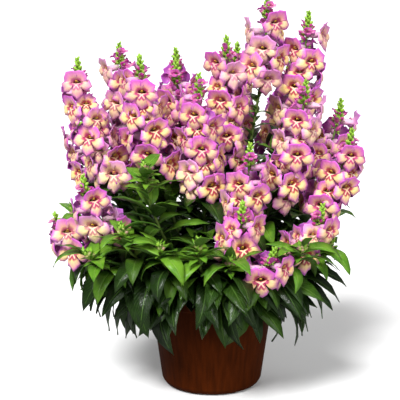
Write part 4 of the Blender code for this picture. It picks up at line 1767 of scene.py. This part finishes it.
def add_rosette(points, stem, draw):
    """Whorls of bright young leaves, smaller towards the shoot's tip, round small buds."""
    turn = draw.uniform(0, 360)
    for k in range(ROSETTE_LEAVES):
        share = k / (ROSETTE_LEAVES - 1)
        place = stem.along(stem.length - (ROSETTE_RUN - (ROSETTE_RUN - 1) * share) * MM)
        length = (26 - 17 * share) * MM * draw.uniform(0.85, 1.1)
        turned = rotation(turn, 14 + 58 * share, draw.uniform(-15, 15))
        droop = DROOPS[1] if share < 0.5 else DROOPS[0]
        young = 0.55 + 0.45 * share
        add_leaf(points, draw, place, turned, length, 0.34 * length, droop, young)
        turn += GOLDEN_TURN
    for k in range(ROSETTE_BUDS):
        share = k / (ROSETTE_BUDS - 1)
        turned = rotation(turn, 30 + 50 * share + draw.uniform(-8, 8))
        place = stem.along(stem.length - (ROSETTE_BUD_RUN - ROSETTE_BUD_RUN * share) * MM)
        long = (9.5 - 4 * share) * MM
        ripe = draw.uniform(0.35, 0.7) if share < 0.5 else 0.95
        points.add(place, BUD, ROUND_BUD, turned, (long,) * 3, draw.random(), ripe)
        turn += GOLDEN_TURN


def within_box(origin, turned, long):
    """Whether a leaf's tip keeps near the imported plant's box."""
    tip = origin + turned @ Vector((0.9 * long, 0, 0))
    low, high = CAD_BOX
    return all(a - BOX_SPARE <= t <= b + BOX_SPARE for a, t, b in zip(low, tip, high))


def leaf_choices(origin, azimuth, pitch, roll, long, wide, first, share):
    """The leaf of each try: place, turn, length, width, droop and height share."""
    for turn, bend, lift, shorter in FILL_TRIES:
        turned = rotation(azimuth + turn, pitch + lift, roll)
        droop = DROOPS[min(max(first + bend, 0), len(DROOPS) - 1)]
        yield origin, turned, long * shorter, wide * (0.4 + 0.6 * shorter), droop, share


def first_clear(stem, garden, choices):
    """A list of the first leaf that is clear and near enough, or an empty one."""
    for leaf in choices:
        origin, turned, long, wide, droop, _ = leaf
        slim = placed_at(leaf_shape(long, SLIM * wide, droop, SLIM_START), turned, origin)
        if garden.clear(slim) and within_box(origin, turned, long):
            garden.add(placed_at(leaf_shape(long, wide, droop), turned, origin), stem.name)
            return [leaf]
    return []


def fill_leaves(stem, garden, draw):
    """Leaves of the fine plant alone, in the gaps that are left along a stem."""
    top = (stem.head[0] if stem.head else stem.length) - 4 * MM
    outer = math.hypot(stem.tip.x, stem.tip.y) > INNER_CLUMP
    distance = ROOTED + (FILL_LOWEST if outer else FILL_LOWEST_INNER)
    azimuth = draw.uniform(0, 360)
    found = []
    while distance < top:
        origin = stem.along(distance)
        share = (origin.z - SOIL_TOP) / (BUSHY_TOP - SOIL_TOP)
        long = LEAF_LENGTH * draw.uniform(0.6, 0.95)
        if share > 1:
            long *= max(0.32, 1 - 0.8 * (share - 1))
        wide = 0.33 * long * draw.uniform(0.9, 1.1)
        pitch = 12 + 30 * min(share, 1.4) + draw.uniform(-12, 12)
        roll = draw.uniform(-20, 20)
        first = 3 if share < 0.75 else 2 if share < 1 else 1
        choices = leaf_choices(origin, azimuth, pitch, roll, long, wide, first, share)
        found += first_clear(stem, garden, choices)
        azimuth += GOLDEN_TURN
        distance += draw.uniform(*FILL_SPACING)
    return found


def skirt_leaves(stem, garden, draw):
    """Long leaves that hang from an outer stem over the pot's rim."""
    found = []
    out = azimuth_of(stem.tip)
    for k in range(SKIRT_COUNT):
        origin = stem.along(ROOTED + (16 + 4.5 * k) * MM)
        azimuth = out + 85 * (((k * 0.618) % 1.0) * 2 - 1) + draw.uniform(-14, 14)
        long = LEAF_LENGTH * draw.uniform(1.1, 1.42)
        roll = draw.uniform(-34, 34)
        pitch = draw.uniform(-14, 14)
        choices = leaf_choices(origin, azimuth, pitch, roll, long, 0.28 * long, 3, 0.0)
        found += first_clear(stem, garden, choices)
    return found


def low_leaves(stem, garden, draw):
    """Bright leaves that droop from below the head of a low outer stem."""
    found = []
    out = azimuth_of(stem.tip)
    for k in range(LOW_COUNT):
        origin = stem.along(stem.head[0] - (4 + 9 * k) * MM)
        azimuth = out + 26 * (k - 1.5)
        long = draw.uniform(50, 64) * MM
        choices = (
            (
                origin,
                rotation(azimuth + turn, lift - 36, draw.uniform(-30, 30)),
                long * shorter,
                0.3 * long,
                DROOPS[2 + bend],
                2.4,
            )
            for turn, bend, lift, shorter in FILL_TRIES
        )
        found += first_clear(stem, garden, choices)
    return found


def fill_blooms(stem, garden, draw):
    """Small blooms of the fine plant alone, between a head's main ones."""
    low, high = stem.head
    azimuth = stem.face + draw.uniform(-60, 60)
    found = []
    distance = low + 2 * MM
    while distance < high + 6 * MM:
        origin = stem.along(distance)
        share = (distance - low) / (high - low)
        size = 0.92 - 0.3 * share
        pitch = draw.uniform(-10, 10) + 20 * max(share - 0.7, 0)
        for turn, lift, smaller in FILL_BLOOM_TRIES:
            turned = rotation(azimuth + turn, pitch + lift)
            wide = size * smaller
            snug = placed_at(bloom_shape(wide * FILL_SNUG, 9 * MM), turned, origin)
            mouth = placed_at(bloom_shape(wide * 0.96, 9 * MM), turned, origin)
            whole = placed_at(bloom_shape(wide, 3 * MM), turned, origin)
            if clear_in_head(garden, stem, snug, mouth, whole):
                found.append((origin, turned, wide, share))
                garden.add(whole, stem.name + " head")
                break
        azimuth += GOLDEN_TURN
        distance += FILL_BLOOM_SPACING
    return found


def stem_points(stem, draw):
    """All that grows on a stem, as points."""
    points = Points()
    add_path(points, stem)
    high = stem.along(0.72 * stem.length).z
    for place, turned, long, wide, droop, share in stem.leaves + stem.more_leaves:
        young = min(max(draw.uniform(-0.4, 0.3) + 0.3 * (share - 0.5), 0), 0.5)
        if not stem.head and place.z > high:
            young = 0.45
        add_leaf(points, draw, place, turned, long, wide, droop, young)
    if stem.head:
        for place, turned, size, _ in stem.blooms + stem.more_blooms:
            points.add(place, BUD, CALYX, turned, (size,) * 3, draw.random(), 1.0)
        add_spire(points, stem, draw)
        add_bracts(points, stem, draw)
    else:
        add_rosette(points, stem, draw)
    return points


def add_bloom(points, draw, place, turned, size, young):
    """An open corolla and its anthers."""
    size *= BLOOM_GROWTH
    kind = draw.randrange(OPEN_VARIANTS)
    points.add(place, LEAF, kind, turned, (size,) * 3, draw.random(), young)
    points.add(place, BUD, 0, turned, (size,) * 3, draw.random(), 0.0)


def add_half_open(points, draw, place, turned, size):
    """A young bloom, raised and still narrow, with no anthers to see."""
    azimuth = azimuth_of(turned @ Vector((1, 0, 0)))
    raised = rotation(azimuth, draw.uniform(30, 52))
    kind = OPEN_VARIANTS + draw.randrange(HALF_OPEN_VARIANTS)
    size *= HALF_OPEN_GROWTH
    short = [share * size for share in HALF_OPEN]
    points.add(place, LEAF, kind, raised, short, 0.0, draw.uniform(0.6, 1.0))


def head_points(stem, draw):
    """All open and half open blooms of a stem, as points."""
    points = Points()
    low, high = stem.head
    for place, turned, size, _ in stem.blooms:
        height = (place - stem.along(low)).length / (high - low)
        young = max(0.0, draw.uniform(-0.3, 0.3)) + 0.4 * height**3
        add_bloom(points, draw, place, turned, size, young)
    for place, turned, size, share in stem.more_blooms:
        if share > 0.72 or size < 0.6:
            add_half_open(points, draw, place, turned, size)
        else:
            add_bloom(points, draw, place, turned, size, max(0.0, draw.uniform(-0.3, 0.4)))
    return points


# Operators


class SNAPDRAGON_OT_stems(bpy.types.Operator):
    """Grows every stem with its leaves, calyces and buds"""

    bl_idname = "snapdragon.stems"
    bl_label = "Stems and leaves"

    def execute(self, context):
        settings = context.scene.snapdragon_plant
        Plan.make(settings)
        inputs = {
            "Leaves": Plan.shapes["leaves"],
            "Buds": Plan.shapes["buds"],
            "Stalk_look": stalk_look(),
            "Leaf_look": leaf_look(settings),
            "Bud_look": bud_look(),
        }
        tree = stem_tree()
        for k, stem in enumerate(Plan.stems):
            draw = random.Random(settings.seed * 100 + k)
            mesh = stem_points(stem, draw).mesh(stem.name)
            piece = plain_result("fine_" + stem.name, mesh, tree, **inputs)
            dressed(piece, "stem_and_leaf" if stem.head else "young_leaf", stem.name)
        return {"FINISHED"}


class SNAPDRAGON_OT_blooms(bpy.types.Operator):
    """Grows the open blooms of every flowering stem, with their anthers"""

    bl_idname = "snapdragon.blooms"
    bl_label = "Blooms"

    def execute(self, context):
        settings = context.scene.snapdragon_plant
        Plan.make(settings)
        inputs = {
            "Corollas": Plan.shapes["corollas"],
            "Anthers": Plan.shapes["anthers"],
            "Petal_look": petal_look(settings),
            "Anther_look": anther_look(),
        }
        tree = bloom_tree()
        for k, stem in enumerate(Plan.flowering):
            draw = random.Random(settings.seed * 300 + k)
            node = stem.name.replace("stem_", "blooms_")
            mesh = head_points(stem, draw).mesh(node)
            piece = plain_result("fine_" + node, mesh, tree, **inputs)
            dressed(piece, "petal", node)
        Plan.drop_shapes()
        return {"FINISHED"}


def turned_object(name, profile, sides):
    """A closed profile turned about the Z axis."""
    points, faces = turned_solid(profile, sides)
    surface = bmesh.new()
    verts = [surface.verts.new(p) for p in points]
    for face in faces:
        surface.faces.new([verts[i] for i in face])
    bmesh.ops.remove_doubles(surface, verts=surface.verts, dist=0.01 * MM)
    bmesh.ops.recalc_face_normals(surface, faces=surface.faces[:])
    return made_object(name, surface, bpy.context.scene.collection)


def smoothed_profile(profile, radius, steps=4):
    """Rounds a profile's corners by the given radius."""
    smooth = []
    for k, corner in enumerate(profile):
        here = Vector(corner)
        before = Vector(profile[k - 1])
        after = Vector(profile[(k + 1) % len(profile)])
        if corner[0] == 0.0:
            smooth.append(corner)
            continue
        back, on = before - here, after - here
        cut = min(radius, 0.45 * back.length, 0.45 * on.length)
        a, b = here + back.normalized() * cut, here + on.normalized() * cut
        for i in range(steps + 1):
            t = i / steps
            p = a * (1 - t) ** 2 + here * 2 * t * (1 - t) + b * t * t
            smooth.append((p.x, p.y))
    return smooth


def drilled(pot):
    """Cuts the drain holes through the pot's floor."""
    drills = bpy.data.collections.new("drills")
    for k in range(DRAIN_HOLES):
        turn = 2 * math.pi * (k + 0.5) / DRAIN_HOLES
        drill = turned_object(f"drill_{k}", DRILL_PROFILE, DRILL_SIDES)
        drill.data.materials.append(pot.data.materials[0])
        drill.location = (DRAIN_CIRCLE * math.cos(turn), DRAIN_CIRCLE * math.sin(turn), 0)
        drills.objects.link(drill)
    cut = pot.modifiers.new("drain holes", "BOOLEAN")
    cut.operation = "DIFFERENCE"
    cut.operand_type = "COLLECTION"
    cut.collection = drills
    cut.solver = "MANIFOLD"
    cut.material_mode = "TRANSFER"
    applied(pot).data.set_sharp_from_angle(angle=SHARP_FROM)
    dropped(drills)
    return pot


class SNAPDRAGON_OT_pot(bpy.types.Operator):
    """Makes the round pot"""

    bl_idname = "snapdragon.pot"
    bl_label = "Pot"

    def execute(self, context):
        settings = context.scene.snapdragon_pot
        profile = smoothed_profile(pot_profile(), CORNER_ROUNDING)
        piece = turned_object("fine_pot", profile, settings.sides)
        piece.data.materials.append(pot_look(settings))
        dressed(drilled(piece), "pot_plastic", "pot")
        return {"FINISHED"}


def crumb_tree():
    """Crumbs strewn over a surface, each turned and sized by chance."""
    tree = Tree("Crumbs", Crumbs="Collection", Density="Float", Seed="Int", Look="Material")
    strewn = tree.node(
        "GeometryNodeDistributePointsOnFaces",
        Mesh=tree.input("Geometry"),
        Density=tree.input("Density"),
        Seed=tree.input("Seed"),
    )
    small, large = CRUMB_SIZES
    size = tree.chance("FLOAT", 1, Min=small, Max=large)
    turn = tree.chance("FLOAT_VECTOR", 2, Max=(WHOLE_TURN,) * 3)
    kind = tree.chance("INT", 3, Max=CRUMB_KINDS - 1)
    crumbs, look = tree.input("Crumbs"), tree.input("Look")
    return tree.close(tree.placed(strewn.outputs[0], crumbs, look, kind, turn, size))


def crumb_variant(name, draw, collection):
    """A small angular lump."""
    surface = bmesh.new()
    bmesh.ops.create_icosphere(surface, subdivisions=1, radius=CRUMB_RADIUS)
    for vert in surface.verts:
        vert.co *= draw.uniform(0.7, 1.2)
        vert.co.z *= 0.7
    return made_object(name, surface, collection)


def soil_top(soil):
    """A mesh of the soil's upper faces, where crumbs can lie."""
    surface = bmesh.new()
    surface.from_mesh(soil.data)
    hidden = [
        f
        for f in surface.faces
        if f.normal.z < LEVEL_ENOUGH or f.calc_center_median().z < SOIL_TOP - BELOW_TOP
    ]
    bmesh.ops.delete(surface, geom=hidden, context="FACES")
    top = bpy.data.meshes.new("soil top")
    surface.to_mesh(top)
    surface.free()
    return top


class SNAPDRAGON_OT_soil(bpy.types.Operator):
    """Gives the soil its finish and strews crumbs on it"""

    bl_idname = "snapdragon.soil"
    bl_label = "Soil"

    def execute(self, context):
        settings = context.scene.snapdragon_pot
        soil = frame["nodes"]["soil"]
        soil.data.materials.clear()
        soil.data.materials.append(soil_look("soil", tone("1E140E"), tone("4A3626")))
        shapes = bpy.data.collections.new("crumb shapes")
        draw = random.Random(settings.crumb_seed)
        for k in range(CRUMB_KINDS):
            crumb_variant(f"crumb_{k}", draw, shapes)
        inputs = {
            "Crumbs": shapes,
            "Density": settings.crumbs,
            "Seed": settings.crumb_seed,
            "Look": soil_look("crumbs", tone("2A1C12"), tone("6A4E36")),
        }
        dressed(plain_result("crumbs", soil_top(soil), crumb_tree(), **inputs), "potting_soil")
        dropped(shapes)
        return {"FINISHED"}


def add_floor(scene):
    """A wide floor that looks nearly white and throws little light back."""
    side, drop = FLOOR_SIDE, FLOOR_DROP
    corners = [(-side, -side, 0), (side, -side, 0), (side, side, 0), (-side, side, 0)]
    mesh = bpy.data.meshes.new("floor")
    mesh.from_pydata([(x, y, z - drop) for x, y, z in corners], [], [(0, 1, 2, 3)])
    look = Look("floor")
    seen = look.node("LightPath").outputs["Is Camera Ray"]
    white = look.mix(seen, (FLOOR_THROWN,) * 3, (FLOOR_SEEN,) * 3)
    mesh.materials.append(look.set(Base_Color=white, Roughness=0.9))
    floor = bpy.data.objects.new("floor", mesh)
    scene.collection.objects.link(floor)


def add_room(scene):
    """A white room that lights the plant softly."""
    room = bpy.data.worlds.new("room")
    room.use_nodes = True
    nodes, links = room.node_tree.nodes, room.node_tree.links
    background = nodes["Background"]
    background.inputs["Color"].default_value = (1, 1, 1, 1)
    seen = nodes.new("ShaderNodeLightPath").outputs["Is Camera Ray"]
    share = nodes.new("ShaderNodeMapRange")
    share.inputs["To Min"].default_value = ROOM_LIGHT
    share.inputs["To Max"].default_value = 1.0
    links.new(seen, share.inputs["Value"])
    links.new(share.outputs["Result"], background.inputs["Strength"])
    scene.world = room


def add_lamps(scene, strength):
    for name, (azimuth, height, share, spread) in LAMPS.items():
        lamp = bpy.data.lights.new(name, "SUN")
        lamp.energy = share * strength
        lamp.angle = math.radians(spread)
        made = bpy.data.objects.new(name, lamp)
        scene.collection.objects.link(made)
        direction = rotation(azimuth, height) @ Vector((1, 0, 0))
        made.rotation_euler = direction.to_track_quat("Z", "Y").to_euler()


def add_camera(scene, distance, elevation):
    lens = bpy.data.cameras.new("camera")
    lens.angle = 2 * math.atan(HALF_VIEW / distance)
    camera = bpy.data.objects.new("camera", lens)
    scene.collection.objects.link(camera)
    back = rotation(0, math.degrees(elevation)) @ Vector((1, 0, 0))
    camera.location = AIM + distance * back
    camera.rotation_euler = back.to_track_quat("Z", "Y").to_euler()
    scene.camera = camera


class SNAPDRAGON_OT_stage(bpy.types.Operator):
    """Sets the floor, the light and the camera"""

    bl_idname = "snapdragon.stage"
    bl_label = "Stage"

    def execute(self, context):
        scene = context.scene
        settings = scene.snapdragon_stage
        add_floor(scene)
        add_room(scene)
        add_lamps(scene, settings.light)
        add_camera(scene, settings.distance, settings.elevation)
        scene.view_settings.view_transform = "Standard"
        return {"FINISHED"}


GROUPS = {
    "snapdragon_plant": PlantSettings,
    "snapdragon_pot": PotSettings,
    "snapdragon_stage": StageSettings,
}
STEPS = (
    SNAPDRAGON_OT_pot,
    SNAPDRAGON_OT_soil,
    SNAPDRAGON_OT_stems,
    SNAPDRAGON_OT_blooms,
    SNAPDRAGON_OT_stage,
)


class SNAPDRAGON_PT_panel(bpy.types.Panel):
    """Lists the plant's settings and steps"""

    bl_idname = "SNAPDRAGON_PT_panel"
    bl_label = "Snapdragon"
    bl_space_type = "VIEW_3D"
    bl_region_type = "UI"
    bl_category = "Snapdragon"

    def draw(self, context):
        for name, group in GROUPS.items():
            for label in group.__annotations__:
                self.layout.prop(getattr(context.scene, name), label)
        for step in STEPS:
            self.layout.operator(step.bl_idname)


CLASSES = (*GROUPS.values(), *STEPS, SNAPDRAGON_PT_panel)


def register():
    for made in CLASSES:
        bpy.utils.register_class(made)
    for name, group in GROUPS.items():
        setattr(bpy.types.Scene, name, bpy.props.PointerProperty(type=group))


def unregister():
    for name in GROUPS:
        delattr(bpy.types.Scene, name)
    for made in reversed(CLASSES):
        bpy.utils.unregister_class(made)


def main():
    register()
    bpy.ops.snapdragon.pot()
    bpy.ops.snapdragon.soil()
    bpy.ops.snapdragon.stems()
    bpy.ops.snapdragon.blooms()
    bpy.ops.snapdragon.stage()


if __name__ == "__main__":
    main()
